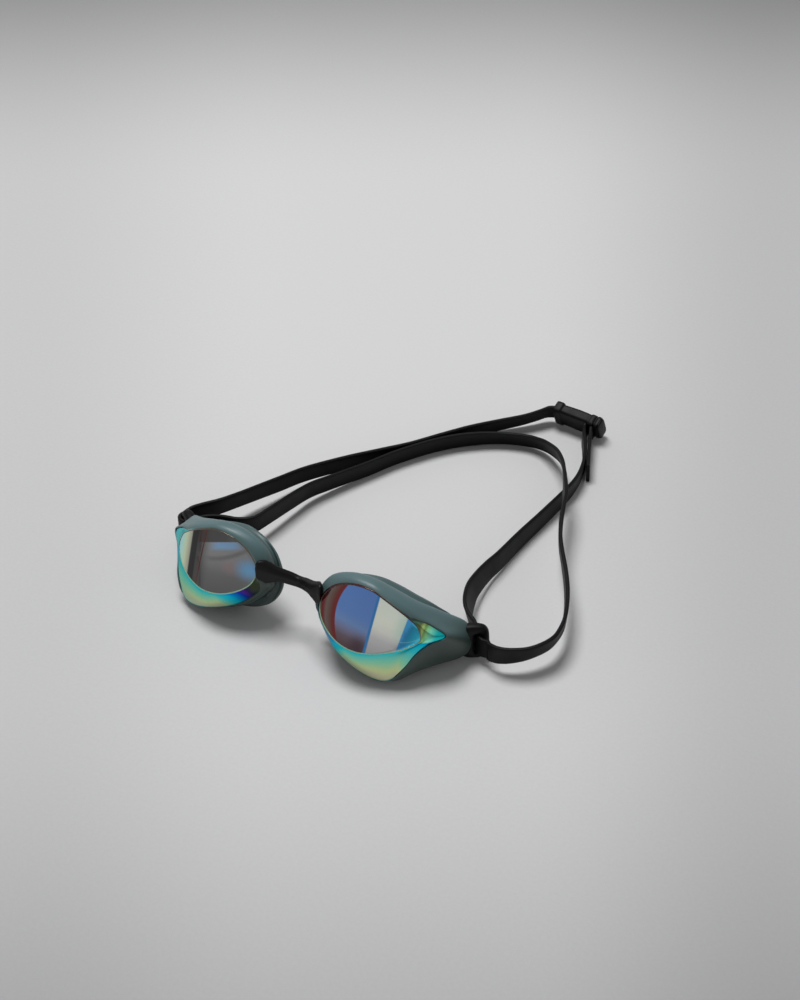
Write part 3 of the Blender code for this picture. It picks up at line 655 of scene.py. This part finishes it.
COATING = (  # the border's thin film by hue, from violet to cream
    (0.00, 24, 18, 40), (0.10, 60, 22, 110), (0.18, 14, 34, 130), (0.32, 0, 100, 164),
    (0.45, 0, 146, 170), (0.60, 40, 156, 162), (0.78, 108, 166, 138), (0.92, 156, 166, 120),
    (1.00, 152, 152, 124),
)
NOSE_END = {"left": (-7.4, -16.6), "right": (-6.0, -14.6)}
TIP_END = {"left": (9.0, 16.0), "right": (9.2, 16.4)}
HUE = 0.56  # at the window, and how much other places change it
HUE_ACROSS, HUE_NOSE, HUE_TIP, HUE_WAVE = 0.58, 0.52, 0.34, 0.03
WAVE_RATE = 0.42
LEFT_NOSE_DARK = (-16.4, -17.8)
OUTER_EDGE = (0.90, 1.0)
WING = (
    (10.0, 64, 76, 48), (11.4, 84, 96, 60), (12.2, 150, 160, 100), (12.9, 96, 124, 74),
    (13.6, 118, 168, 120), (14.6, 104, 174, 154), (16.4, 24, 140, 142), (18.9, 4, 118, 128),
)
WING_GAIN = (1.25, 1.4, 1.35, 1.0)
LEFT_WING_SHARE = 0.75
RIM = (
    (-18.0, 74, 40, 40), (-8.0, 96, 52, 50), (0.0, 124, 130, 120), (7.0, 56, 58, 58),
    (10.5, 60, 74, 50),
)
LEFT_RIM = (3.0, 6.0)
UPPER_PART = (0.085, 0.47, 0.02)  # strips along the ring, as shares of the way round
MAIN_PART = (0.085, 0.962, 0.012)


def border(label):
    """Colours of the bevelled border, cyan at the window and creamy lower down: the thin film's own
    hues, with the reflections in it painted in.
    """
    graph = coating(f"lens_border_{label}", LIT, BORDER_LOOK)
    u = graph.uv("face")[0]
    along, ring = graph.uv("band")
    across = graph.slope(ring, *BORDER_RINGS)
    nose = graph.slope(u, *NOSE_END[label])
    tip = graph.slope(u, *TIP_END[label])
    calm = graph.less(1.0, graph.math("MAXIMUM", nose, tip))
    wave = graph.math("SINE", graph.times(u, WAVE_RATE))
    hue = graph.add(HUE, graph.times(graph.times(across, calm), HUE_ACROSS))
    hue = graph.less(hue, graph.times(nose, HUE_NOSE))
    hue = graph.less(hue, graph.times(tip, HUE_TIP))
    hue = graph.add(hue, graph.times(wave, HUE_WAVE))
    colour = graph.ramp(hue, COATING)
    rim = graph.ramp(u, RIM)
    wing = graph.mix(1.0, graph.ramp(u, WING), WING_GAIN, "MULTIPLY")
    if label == "left":
        colour = graph.mix(graph.rise(u, *LEFT_NOSE_DARK), colour, (42, 46, 34))
        wing = graph.mix(LEFT_WING_SHARE, wing, (86, 150, 158))
        rim = graph.mix(graph.rise(u, *LEFT_RIM), (96, 104, 100), (96, 156, 158))
    edge = graph.rise(across, *OUTER_EDGE)
    outer = graph.less(1.0, graph.strip(along, *MAIN_PART))
    return graph.layers(colour, ((graph.times(edge, calm), (58, 140, 150)),
                                 (graph.strip(along, *UPPER_PART), rim), (outer, wing)))


LIP_LOW = (2.0, -4.0)
# painted highlight along the lower part of the window's edge
LIP_LOW_HIGHLIGHT = srgb(158, 196, 160, 1.2)
LIP_TOP = {"left": (104, 92, 78), "right": (70, 26, 26)}
LIP_TOP_PART = (0.04, 0.47, 0.03)
LIP_GRAIN = (0.4, 0.9)


def lip(label):
    """Polished edge of the window, pale over its lower part with a painted highlight, and dark over
    its top.
    """
    graph = Graph(f"lens_lip_{label}", **LIP_LOOK)
    v = graph.uv("face")[1]
    along = graph.uv("band")[0]
    grain = graph.rise(graph.noise(graph.rest(), 3.0), *LIP_GRAIN)
    return graph.layers((128, 134, 122), (
        (graph.rise(v, *LIP_LOW), LIP_LOW_HIGHLIGHT),
        (graph.strip(along, *LIP_TOP_PART), LIP_TOP[label]),
        (grain, (96, 120, 112))))


def lens_body():
    graph = Graph("lens_body", **BODY_LOOK)
    grain = graph.noise(graph.rest(), 1.5)
    return graph.set(Base_Color=graph.mix(grain, (18, 40, 48), (30, 62, 70)))


# Eyecups. Pairs in these tables are how far a ring stands outward, and its depth along n.

WINDOW_SHARES = (0.12, 0.3, 0.48, 0.66, 0.82, 0.93, 0.985)
WINDOW_LIP = ((-0.06, 0.0), (0.03, 0.07), (0.20, 0.05), (LIP_REACH, -0.06))
BORDER_STEPS = (0.1, 0.25, 0.42, 0.6, 0.78, 0.92, 1.0)
BORDER_CROWN = 0.35
LENS_ROUND = (0.06, -0.25)
BACK_SHARES = (1.0, 0.7, 0.35)
GLASS, LIP, BORDER, BODY = range(4)  # the lens's material slots


def window_loop():
    return closed_loop([(u, v, 0.0) for u, v in WINDOW])


def lens_rings():
    """Rings of a lens from the middle of its window round to the middle of its back."""
    window = window_loop()
    edge = closed_loop(LENS_EDGE)
    rings = [on_face(window, share) for share in WINDOW_SHARES]
    flat = on_face(window, 1.0)
    rings += [moved(flat, *pair) for pair in WINDOW_LIP]
    slots = [GLASS] * len(WINDOW_SHARES) + [LIP] * (len(WINDOW_LIP) - 1)
    start = len(rings) - 1
    for share in BORDER_STEPS:
        crown = BORDER_CROWN * math.sin(math.pi * share)
        rings.append(between(rings[start], edge, share, 0.0, crown))
    end = len(rings) - 1
    rings += [moved(edge, *LENS_ROUND), moved(edge, 0.0, -LENS_SKIRT),
              moved(edge, -LENS_WALL, -LENS_SKIRT)]
    rings += [on_face(window, share, -LENS_WALL) for share in BACK_SHARES]
    last = len(rings) - 1
    slots += [BORDER] * (end + 1 - start) + [BODY] * (last - end - 1)
    return rings, slots, (start / last, end / last)


LENS_RINGS, LENS_SLOTS, BORDER_RINGS = lens_rings()

# Shares of the way round the lens's edge, from, to and soft ends: where the frame's lip laps over
# the border, and where it keeps out of sight
OVER_TOP = (0.115, 0.455, 0.05)
UNDER = (0.52, 0.765, 0.045)
INNER_LAP, UPPER_LAP = 0.82, 0.5  # how far over the border
SHOULDER_TUCK, GROOVE_TUCK, LIP_TUCK = -0.15, -0.2, -0.1
GROOVE_TUCKED = 0.8
FRAME_LIP = ((0.02, -0.6), (0.03, 0.08), (0.16, 0.20), (GAP + 0.2, 0.20))
FRAME_LIP_SUNK = (-0.7, -0.7, -0.75)  # depth of its visible rings where out of sight
LIP_EDGE_SUNK = -0.8
FRAME_BODY = ((0.28, 0.26), (0.52, 0.38), (0.78, 0.30))  # share of the way, outward
FRAME_SIDE = ((0.2, 0.12), (0.6, 0.12), (0.92, 0.0))
GROOVE_ROUND = ((-0.25, 0.0), (-GROOVE_DEPTH, 0.1), (-GROOVE_DEPTH, -GROOVE_WIDTH),
                (-GROOVE_DEPTH - FRAME_WALL, -GROOVE_WIDTH))
SEAL_START = -GROOVE_WIDTH - GAP
SEAL_NECK = ((0.35, 0.1, 0.0), (0.7, 0.5, 0.9))  # share of the way, outward, depth
SEAL_OUTSIDE = ((0.05, SEAL_FLARE * 0.75), (0.05, 1.0), (-0.5, 0.15))
SEAL_INSIDE = ((-1.2, -0.12), (-2.2, -0.22), (-SEAL_LIP, 0.1), (-SEAL_LIP - 0.1, 1.0))


def bell(at, low, high, soft):
    """1 between low and high, falling smoothly to 0 over soft on either side."""
    def rise(x):
        x = min(1.0, max(0.0, x))
        return x * x * (3 - 2 * x)
    return rise((at - low) / soft + 1) * rise((high - at) / soft + 1)


def eased(loop, goal, amounts, share=1.0):
    """The loop drawn towards the goal by each point's own amount, times share."""
    return [a.lerp(b, share * amount) for a, b, amount in zip(loop, goal, amounts)]


def frame_rings():
    """Section of the soft frame: lip against the lens, rounded body, groove and inner wall.

    Above the window its lip laps over the lens's border, and below the lens it keeps out of sight.
    """
    edge = closed_loop(LENS_EDGE)
    count = len(edge)
    cover = [bell(i / count, *OVER_TOP) for i in range(count)]
    below = [bell(i / count, *UNDER) for i in range(count)]

    def tucked(loop, inset, share=1.0):
        goal = [Vector((a.x, a.y, b.z)) for a, b in zip(moved(edge, inset), loop)]
        return eased(loop, goal, below, share)

    def sunk(loop, depth):
        return eased(loop, moved(edge, LIP_TUCK, depth), below)

    border_start = moved(on_face(window_loop(), 1.0), *WINDOW_LIP[-1])
    inner_lip = eased(edge, border_start, cover, INNER_LAP)
    upper_lip = eased(edge, border_start, cover, UPPER_LAP)
    shoulder = tucked(closed_loop(SHOULDER), SHOULDER_TUCK)
    groove = tucked(closed_loop(GROOVE), GROOVE_TUCK, GROOVE_TUCKED)
    lip_edge = sunk(moved(edge, GAP + LIP_WIDTH), LIP_EDGE_SUNK)
    front = [moved(loop, *pair) for loop, pair in zip([inner_lip] * 3 + [upper_lip], FRAME_LIP)]
    front[1:] = [sunk(loop, depth) for loop, depth in zip(front[1:], FRAME_LIP_SUNK)]
    body = rings_through([lip_edge, *(between(lip_edge, shoulder, *pair) for pair in FRAME_BODY),
                          shoulder], 2)
    side = [between(shoulder, groove, *pair) for pair in FRAME_SIDE]
    inner = [moved(groove, *pair) for pair in GROOVE_ROUND]
    inner += [moved(edge, inset, -LENS_SKIRT - GAP) for inset in (-LENS_WALL, LIP_TUCK)]
    return front + body + side + inner


def seal_rings():
    """Section of the face seal: neck, flare and rounded lip."""
    groove = closed_loop(GROOVE)
    rim = closed_loop(SEAL_RIM)
    neck = moved(groove, -GROOVE_DEPTH, SEAL_START)
    outer = rings_through([neck, *(between(neck, rim, *numbers) for numbers in SEAL_NECK),
                           *(moved(rim, *pair) for pair in SEAL_OUTSIDE)], 3)
    inner = rings_through([moved(rim, *pair) for pair in SEAL_INSIDE], 2)
    return outer + inner + [moved(groove, -GROOVE_DEPTH - FRAME_WALL, SEAL_START)]


def make_cups(materials):
    windows = {"left": window_left(), "right": window_right()}
    body_material = lens_body()
    for label, side in SIDES.items():
        place = cup_place(side)
        mesh = skin(f"lens_{label}", LENS_RINGS, place, False, slots=LENS_SLOTS)
        lens = add_piece(f"mirror_lens_{label}", mesh,
                         (windows[label], lip(label), border(label), body_material), sharp=50.0)
        frame = add_piece(f"soft_frame_{label}", skin(f"frame_{label}", frame_rings(), place, True),
                          (materials["frame"],), sharp=55.0)
        seal = add_piece(f"soft_seal_{label}", skin(f"seal_{label}", seal_rings(), place, True),
                         (materials["seal"],), sharp=60.0)
        for piece, node, slot in ((lens, f"lens_{label}", "lens_mirror"),
                                  (frame, f"frame_{label}", "frame_green"),
                                  (seal, f"face_seal_{label}", "seal_green")):
            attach(piece, f"{label}_cup")
            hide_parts(node)


# Nose bridge

BRIDGE_STEPS = 6
BRIDGE_POWER = 3.2  # of its section's outline, and the points round it
BRIDGE_COUNT = 40
RIDGE_REACH = 0.16  # of the ridge along its front
RIDGE_PLACE, RIDGE_HALF = 0.22, 0.16  # its middle and half its width, as shares of the height


def superellipse(half_a, half_b, power, count):
    """Closed outline between an ellipse (power 2) and a rectangle."""
    points = []
    for i in range(count):
        angle = 2 * math.pi * i / count
        c, s = math.cos(angle), math.sin(angle)
        points.append((half_a * math.copysign(abs(c) ** (2 / power), c),
                       half_b * math.copysign(abs(s) ** (2 / power), s)))
    return points


def make_bridge(materials):
    keys, foot = ([[Vector(section[:3]), Vector(section[3:])] for section in table]
                  for table in (BRIDGE_SECTIONS, BRIDGE_FOOT))
    mirrored = [keys[1][0] * Vector((-1.0, 1.0, 1.0)), keys[1][1]]
    sections = rings_through([mirrored, *keys], BRIDGE_STEPS)[BRIDGE_STEPS:] + foot
    for label, side in SIDES.items():
        rings = []
        for where, size in sections:
            ring = []
            for a, b in superellipse(size.x / 2, size.y / 2, BRIDGE_POWER, BRIDGE_COUNT):
                if a < 0:
                    off = abs(b / size.y - RIDGE_PLACE) / RIDGE_HALF
                    a -= RIDGE_REACH * max(0.0, 1 - off)
                ring.append(Vector((side * where.x, where.y + a, where.z + b)))
            rings.append(ring)
        mesh = skin(f"bridge_{label}", rings, lambda point: point * MM, False)
        half = add_piece(f"nose_bridge_{label}", mesh, (materials["bridge"],), sharp=60.0)
        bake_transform(half)
        if side > 0:
            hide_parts("nose_bridge")


# Side clips

# Half of the plate's section, from its slot out: share of the way to its edge, share of its depth
CLIP_SECTION = ((1.0, 0.5), (0.8, 0.88), (0.45, 1.0), (0.12, 0.95), (0.0, 0.6))
CLIP_POWERS = (5.0, 3.0)  # of the slot's outline and the plate's
CLIP_COUNT = 72
CLIP_RAISE = 0.4


def clip_matrix(side):
    x, y, z = CLIP_BAR
    turn = CLIP_TURN if side > 0 else math.pi - CLIP_TURN
    return Matrix.Translation(Vector((side * x, y, z)) * MM) @ Matrix.Rotation(turn, 4, "Z")


def make_clips(materials):
    """Plate round a slot: tall where it takes hold of the temple, with a round bar at its end."""
    width, height = CLIP_SLOT
    middle = -SLOT_CENTRE
    sections = [(share, -y) for share, y in CLIP_SECTION] + [*reversed(CLIP_SECTION)]
    inner = superellipse(width / 2, height / 2, CLIP_POWERS[0], CLIP_COUNT)
    outer = superellipse(1.0, 1.0, CLIP_POWERS[1], CLIP_COUNT)
    for label, side in SIDES.items():
        matrix = clip_matrix(side)
        rings = []
        for share, y in sections:
            ring = []
            for (a, b), (c, d) in zip(inner, outer):
                bar = 0.5 + 0.5 * c  # 0 at the temple, 1 at the bar
                reach = (CLIP_BAR_END - middle) if c > 0 else (CLIP_REACH + middle)
                half_height = PLATE_HEIGHT / 2 + (CLIP_HEIGHT - PLATE_HEIGHT) / 2 * bar
                x = middle + a + (c * reach - a) * share
                z = b + (d * half_height + CLIP_RAISE - b) * share
                ring.append(Vector((x, y * (PLATE_DEPTH + (CLIP_BAR_END - PLATE_DEPTH) * bar), z)))
            rings.append(ring)
        mesh = skin(f"clip_{label}", rings, lambda point: matrix @ (point * MM), True)
        clip = add_piece(f"strap_clip_{label}", mesh, (materials["clip"],), sharp=60.0)
        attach(clip, f"{label}_cup")
        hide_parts(f"side_clip_{label}")


# Strap

def route_points(route):
    """Points every BAND_STEP or so along a smooth line through the route's own points."""
    keys = [Vector(key) for key in route]
    keys = [2 * keys[0] - keys[1]] + keys + [2 * keys[-1] - keys[-2]]
    line = []
    for i in range(1, len(keys) - 2):
        span = (keys[i + 1] - keys[i]).xyz.length
        steps = max(1, round(span / BAND_STEP))
        line += [spline_point(*keys[i - 1:i + 3], step / steps) for step in range(steps)]
    line.append(keys[-2])
    return line


def split(line, share):
    index = round((len(line) - 1) * share)
    return line[:index + 1], line[index:]


def arc(centre, radius, angles):
    return [(centre[0] + radius * math.cos(math.radians(a)),
             centre[1] + radius * math.sin(math.radians(a))) for a in angles]


LEFT_WRAP = ((-SLOT_CENTRE - 0.2, -1.9), (-SLOT_CENTRE, -0.8),
             *arc((0.0, 0.0), SLOT_CENTRE, range(180, -1, -12)))
RIGHT_WRAP = ((0.9, -3.6), (-0.7, -2.9), (-1.7, -1.7), (-SLOT_CENTRE, 0.0),
              (-SLOT_CENTRE - 0.2, 1.9))


def placed(plan, matrix):
    """The plan, which lies in the matrix's own XY plane, with the band's width along its Z."""
    points = [matrix @ (Vector((x, y, 0.0)) * MM) / MM for x, y in plan]
    up = matrix.col[2].xyz
    result = []
    for i, point in enumerate(points):
        along = (points[min(i + 1, len(points) - 1)] - points[max(i - 1, 0)]).normalized()
        left = Vector((-along.y, along.x, 0.0)).normalized()
        lean = math.atan2(up.dot(left), up.dot(along.cross(left)))
        result.append(Vector((*point, math.degrees(lean))))
    return result


def band_outline():
    """Rounded rectangle, across the band's thickness and up its width."""
    half_t, half_w = BAND_THICKNESS / 2, BAND_WIDTH / 2
    points = []
    corners = ((half_t, half_w, 0), (-half_t, half_w, 90), (-half_t, -half_w, 180),
               (half_t, -half_w, 270))
    for a, b, turn in corners:
        centre = (a - math.copysign(BAND_EDGE, a), b - math.copysign(BAND_EDGE, b))
        points += arc(centre, BAND_EDGE, range(turn, turn + 91, CORNER_STEP))
    result = []
    for i, (a, b) in enumerate(points):
        result.append((a, b))
        d = points[(i + 1) % len(points)][1]
        if abs(b - d) > BAND_THICKNESS:
            result += [(a, b + (d - b) * share) for share in FACE_SHARES]
    return result


OUTLINE = band_outline()


def band_mesh(name, line):
    """Flat band along the line, with its length and the way round its section kept in "rest"."""
    rings = []
    travelled = 0.0
    for i, point in enumerate(line):
        before, after = line[max(i - 1, 0)], line[min(i + 1, len(line) - 1)]
        along = (after - before).xyz.normalized()
        left = Vector((-along.y, along.x, 0.0)).normalized()
        level_up = along.cross(left)
        lean = math.radians(point.w)
        up = left * math.sin(lean) + level_up * math.cos(lean)
        side = left * math.cos(lean) - level_up * math.sin(lean)
        if i:
            travelled += (point - line[i - 1]).xyz.length
        ring = []
        for a, b in OUTLINE:
            place = point.xyz + side * a + up * b
            place.z = max(place.z, TABLE)
            ring.append((place, Vector((travelled, b, a))))
        rings.append(ring)
    return skin(name, rings, lambda pair: pair[0] * MM, False, local=lambda pair: pair[1])


def band_piece(name, line, material):
    piece = add_piece(name, band_mesh(name, line), (material,), sharp=50.0)
    return piece


def declare(line):
    """The stretch's own centreline in metres, from where it leaves to where it goes in again,
    thinned to every CORD_STEP-th point.
    """
    path = [point.xyz * MM for point in line]
    path = path[::CORD_STEP] + ([path[-1]] if (len(path) - 1) % CORD_STEP else [])


def buckle_matrix():
    return (Matrix.Translation(Vector(BUCKLE_CENTRE) * MM)
            @ Matrix.Rotation(BUCKLE_TURN, 4, "Z")
            @ Matrix.Rotation(BUCKLE_LEAN, 4, "X"))


# Plan of the band's turn inside the buckle, with a straight piece at either end
FOLD_PLAN = ((FOLD_CENTRE[0] - FOLD_RADIUS, FOLD_CENTRE[1] - FOLD_REACH),
             *arc(FOLD_CENTRE, FOLD_RADIUS, range(180, -1, -15)),
             (FOLD_CENTRE[0] + FOLD_RADIUS, FOLD_CENTRE[1] - FOLD_REACH))

# Bodies that a stretch runs between, where its bend starts and ends, what its cord goes on with
BENDS = {
    "strap_upper_left_front": (("left_cup", "bridge"), (-54, 17, 8), (-33, 64, 5),
                               ["strap_fold_left"]),
    "strap_upper_left_rear": (("bridge", "buckle"), (-7, 101, 4), (14, 127, 5), []),
    "strap_lower_left": (("left_cup", "bridge"), (-50, 15, 8), (-27, 60, 5), []),
    "strap_lower_right": (("bridge", "right_cup"), (62, 62, 10), (58, 12, 8),
                          ["strap_fold_right"]),
    "strap_upper_right_front": (("right_cup", "bridge"), (50, 15, 8), (41, 62, 5), []),
    "strap_upper_right_rear": (("bridge", "buckle"), (41, 82, 4), (40, 108, 4),
                               ["strap_buckle_loop", "strap_tail"]),
}


def make_strap(materials):
    into_buckle = placed(BUCKLE_ENTRY, buckle_matrix())
    left_front, left_rear = split(route_points([*UPPER_LEFT, *into_buckle]),
                                  SHARES["upper_left"])
    lower_left, lower_right = split(route_points(LOWER), SHARES["lower"])
    fold = placed(FOLD_PLAN, buckle_matrix())
    right_front, rest = split(route_points([*UPPER_RIGHT, fold[0]]), SHARES["upper_right"])
    right_rear, last = split(rest, SHARES["rear"])
    loop, tail = split(last[:-1] + fold + route_points(TAIL), SHARES["tail"])
    left_fold = [lower_left[0], *placed(LEFT_WRAP, clip_matrix(-1)), left_front[0]]
    right_fold = [lower_right[-1], *placed(RIGHT_WRAP, clip_matrix(1)), right_front[0]]
    lines = dict(zip(BENDS, (left_front, left_rear, lower_left, lower_right, right_front,
                             right_rear)))
    lines.update(strap_buckle_loop=loop, strap_tail=tail, strap_fold_left=left_fold,
                 strap_fold_right=right_fold)
    bands = {node: band_piece(node.replace("strap", "band", 1), line, materials["strap"])
             for node, line in lines.items()}
    for node, (bodies, start, end, _) in BENDS.items():
        piece = bands[node]
        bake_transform(piece)
    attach(bands["strap_buckle_loop"], "buckle")
    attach(bands["strap_tail"], "buckle")
    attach(bands["strap_fold_left"], "left_cup")
    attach(bands["strap_fold_right"], "right_cup")
    for node, band in bands.items():
        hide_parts(node)
    for node, (*_, others) in BENDS.items():
        declare(lines[node])


# Buckle

BUCKLE_SECTIONS = (  # x, half depth, half height
    (-7.6, 0.95, 3.75), (-8.9, 1.0, 3.8), (-9.0, 1.15, 3.95), (-9.0, 2.0, 4.2), (-8.8, 2.4, 4.6),
    (-8.2, 2.5, 4.7), (-6.9, 2.5, 4.7), (-6.4, 2.42, 4.62), (-6.1, 2.1, 4.4), (-5.7, 2.0, 4.28),
    (-3.0, 2.12, 4.34), (0.0, 2.2, 4.4), (3.0, 2.14, 4.34), (4.3, 2.05, 4.2), (4.6, 2.2, 4.1),
    (4.8, 2.46, 4.18), (5.6, 2.5, 4.2), (6.4, 2.46, 4.16), (6.6, 2.0, 3.9), (6.9, 1.98, 3.88),
    (7.1, 2.44, 4.14), (7.7, 2.5, 4.2), (8.2, 2.42, 4.12), (8.3, 1.9, 3.8), (8.5, 1.88, 3.78),
    (8.6, 2.2, 3.98), (8.9, 2.05, 3.85), (9.0, 1.7, 3.6),
)
BUCKLE_POWER, BUCKLE_COUNT = 5.0, 64  # of the sections' outline


def make_buckle(materials):
    matrix = buckle_matrix()
    rings = [[Vector((x, a, b)) for a, b in superellipse(*half, BUCKLE_POWER, BUCKLE_COUNT)]
             for x, *half in BUCKLE_SECTIONS]
    mesh = skin("buckle", rings, lambda point: matrix @ (point * MM), False)
    buckle = add_piece("rear_buckle", mesh, (materials["buckle"],), sharp=50.0)
    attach(buckle, "buckle")
    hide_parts("strap_buckle")

# Stage

def make_floor():
    """Pale floor with a painted pool of light, which fades with the distance and to either side."""
    graph = Graph("floor_pale", Roughness=0.85, Specular_IOR_Level=0.25)
    place = graph.node("NewGeometry", ()).outputs["Position"]
    x, y = graph.parts(place)[:2]

    def along(direction):
        return graph.add(graph.times(x, direction[0]), graph.times(y, direction[1]))

    away = along(FLOOR_AWAY)
    width = graph.math("MAXIMUM", POOL_LEAST,
                       graph.add(graph.times(away, POOL_GROWTH), POOL_WIDTH))
    aside = graph.math("DIVIDE", graph.less(along(FLOOR_RIGHT), POOL_MIDDLE), width)
    lit = 1.0
    for value, fades in ((away, AWAY_FADES), (aside, ASIDE_FADES)):
        for first, last, share in fades:
            faded = graph.rise(value, first, last)
            lit = graph.times(lit, graph.slope(faded, 0.0, 1.0, 1.0, share))
    grain = graph.noise(place, *FLOOR_GRAIN)
    shade = graph.times(lit, graph.slope(grain, *MIDDLE, *FLOOR_GRAIN_SHADE))
    graph.set(Base_Color=graph.mix(shade, (0, 0, 0), FLOOR_COLOUR))
    mesh = bpy.data.meshes.new("floor")
    work = bmesh.new()
    bmesh.ops.create_grid(work, x_segments=1, y_segments=1, size=FLOOR_SIZE)
    work.to_mesh(mesh)
    work.free()
    floor = add_piece("floor", mesh, (graph.material,))
    floor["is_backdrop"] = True


def make_key():
    data = bpy.data.lights.new("key", "AREA")
    data.shape = "DISK"
    data.size = KEY_SIZE
    data.energy = KEY_POWER
    light = bpy.data.objects.new("key", data)
    bpy.context.scene.collection.objects.link(light)
    light.location = KEY_PLACE
    towards = Vector(KEY_TARGET) - Vector(KEY_PLACE)
    light.rotation_euler = towards.to_track_quat("-Z", "Y").to_euler()


def make_stage():
    make_floor()
    world = bpy.data.worlds.new("studio")
    bpy.context.scene.world = world
    world.use_nodes = True
    tree = world.node_tree
    around = tree.nodes.new("ShaderNodeTexCoord")
    parts = tree.nodes.new("ShaderNodeSeparateXYZ")
    heights = tree.nodes.new("ShaderNodeMapRange")
    heights.interpolation_type = "SMOOTHSTEP"
    for key, value in zip(("From Min", "From Max", "To Min", "To Max"),
                          (*SKY_RANGE, HORIZON, OVERHEAD)):
        heights.inputs[key].default_value = value
    background = tree.nodes["Background"]
    background.inputs["Color"].default_value = (1.0, 1.0, 1.0, 1.0)
    tree.links.new(around.outputs["Generated"], parts.inputs[0])
    tree.links.new(parts.outputs[2], heights.inputs["Value"])
    tree.links.new(heights.outputs[0], background.inputs["Strength"])
    make_key()


def make_camera():
    data = bpy.data.cameras.new("camera")
    data.lens = CAMERA_LENS
    data.sensor_width = SENSOR
    data.clip_start = CAMERA_NEAR
    camera = bpy.data.objects.new("camera", data)
    bpy.context.scene.collection.objects.link(camera)
    away = Vector((math.sin(CAMERA_AZIMUTH) * math.cos(CAMERA_ELEVATION),
                   -math.cos(CAMERA_AZIMUTH) * math.cos(CAMERA_ELEVATION),
                   math.sin(CAMERA_ELEVATION)))
    camera.location = Vector(CAMERA_TARGET) + away * CAMERA_DISTANCE
    camera.rotation_euler = away.to_track_quat("Z", "Y").to_euler()
    bpy.context.scene.camera = camera


# Two colours, roughness, specular level and other settings; the last colour of frame and seal is a
# painted highlight, lighter on faces that turn up
RUBBERS = {
    "frame_rubber": ((50, 66, 60), (58, 74, 69), 0.42, 0.5, {"painted_top_light": (92, 120, 124)}),
    "seal_rubber": ((48, 62, 58), (54, 70, 66), 0.44, 0.5, {"painted_top_light": (78, 102, 104)}),
    "clip_plastic": ((7, 7, 8), (11, 11, 12), 0.5, 0.2, {"grain": 0.8}),
    "buckle_plastic": ((7, 7, 8), (10, 10, 11), 0.5, 0.2, {"grain": 0.8}),
    "bridge_plastic": ((10, 9, 10), (14, 12, 14), 0.46, 0.25, {"grain": 0.8}),
    "strap_rubber": ((8, 8, 9), (12, 12, 13), 0.55, 0.2, {"dust": 0.06}),
}


def corners(box):
    return [list(corner) for corner in box]


def main():
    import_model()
    cad_box = corners(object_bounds())
    bpy.context.scene.view_settings.view_transform = "Standard"
    materials = {name.split("_")[0]: rubber(name, *numbers, **others)
                 for name, (*numbers, others) in RUBBERS.items()}
    make_camera()
    make_strap(materials)
    make_cups(materials)
    make_bridge(materials)
    make_clips(materials)
    make_buckle(materials)
    make_stage()
    {"cad": cad_box, "visual": corners(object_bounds())}


main()
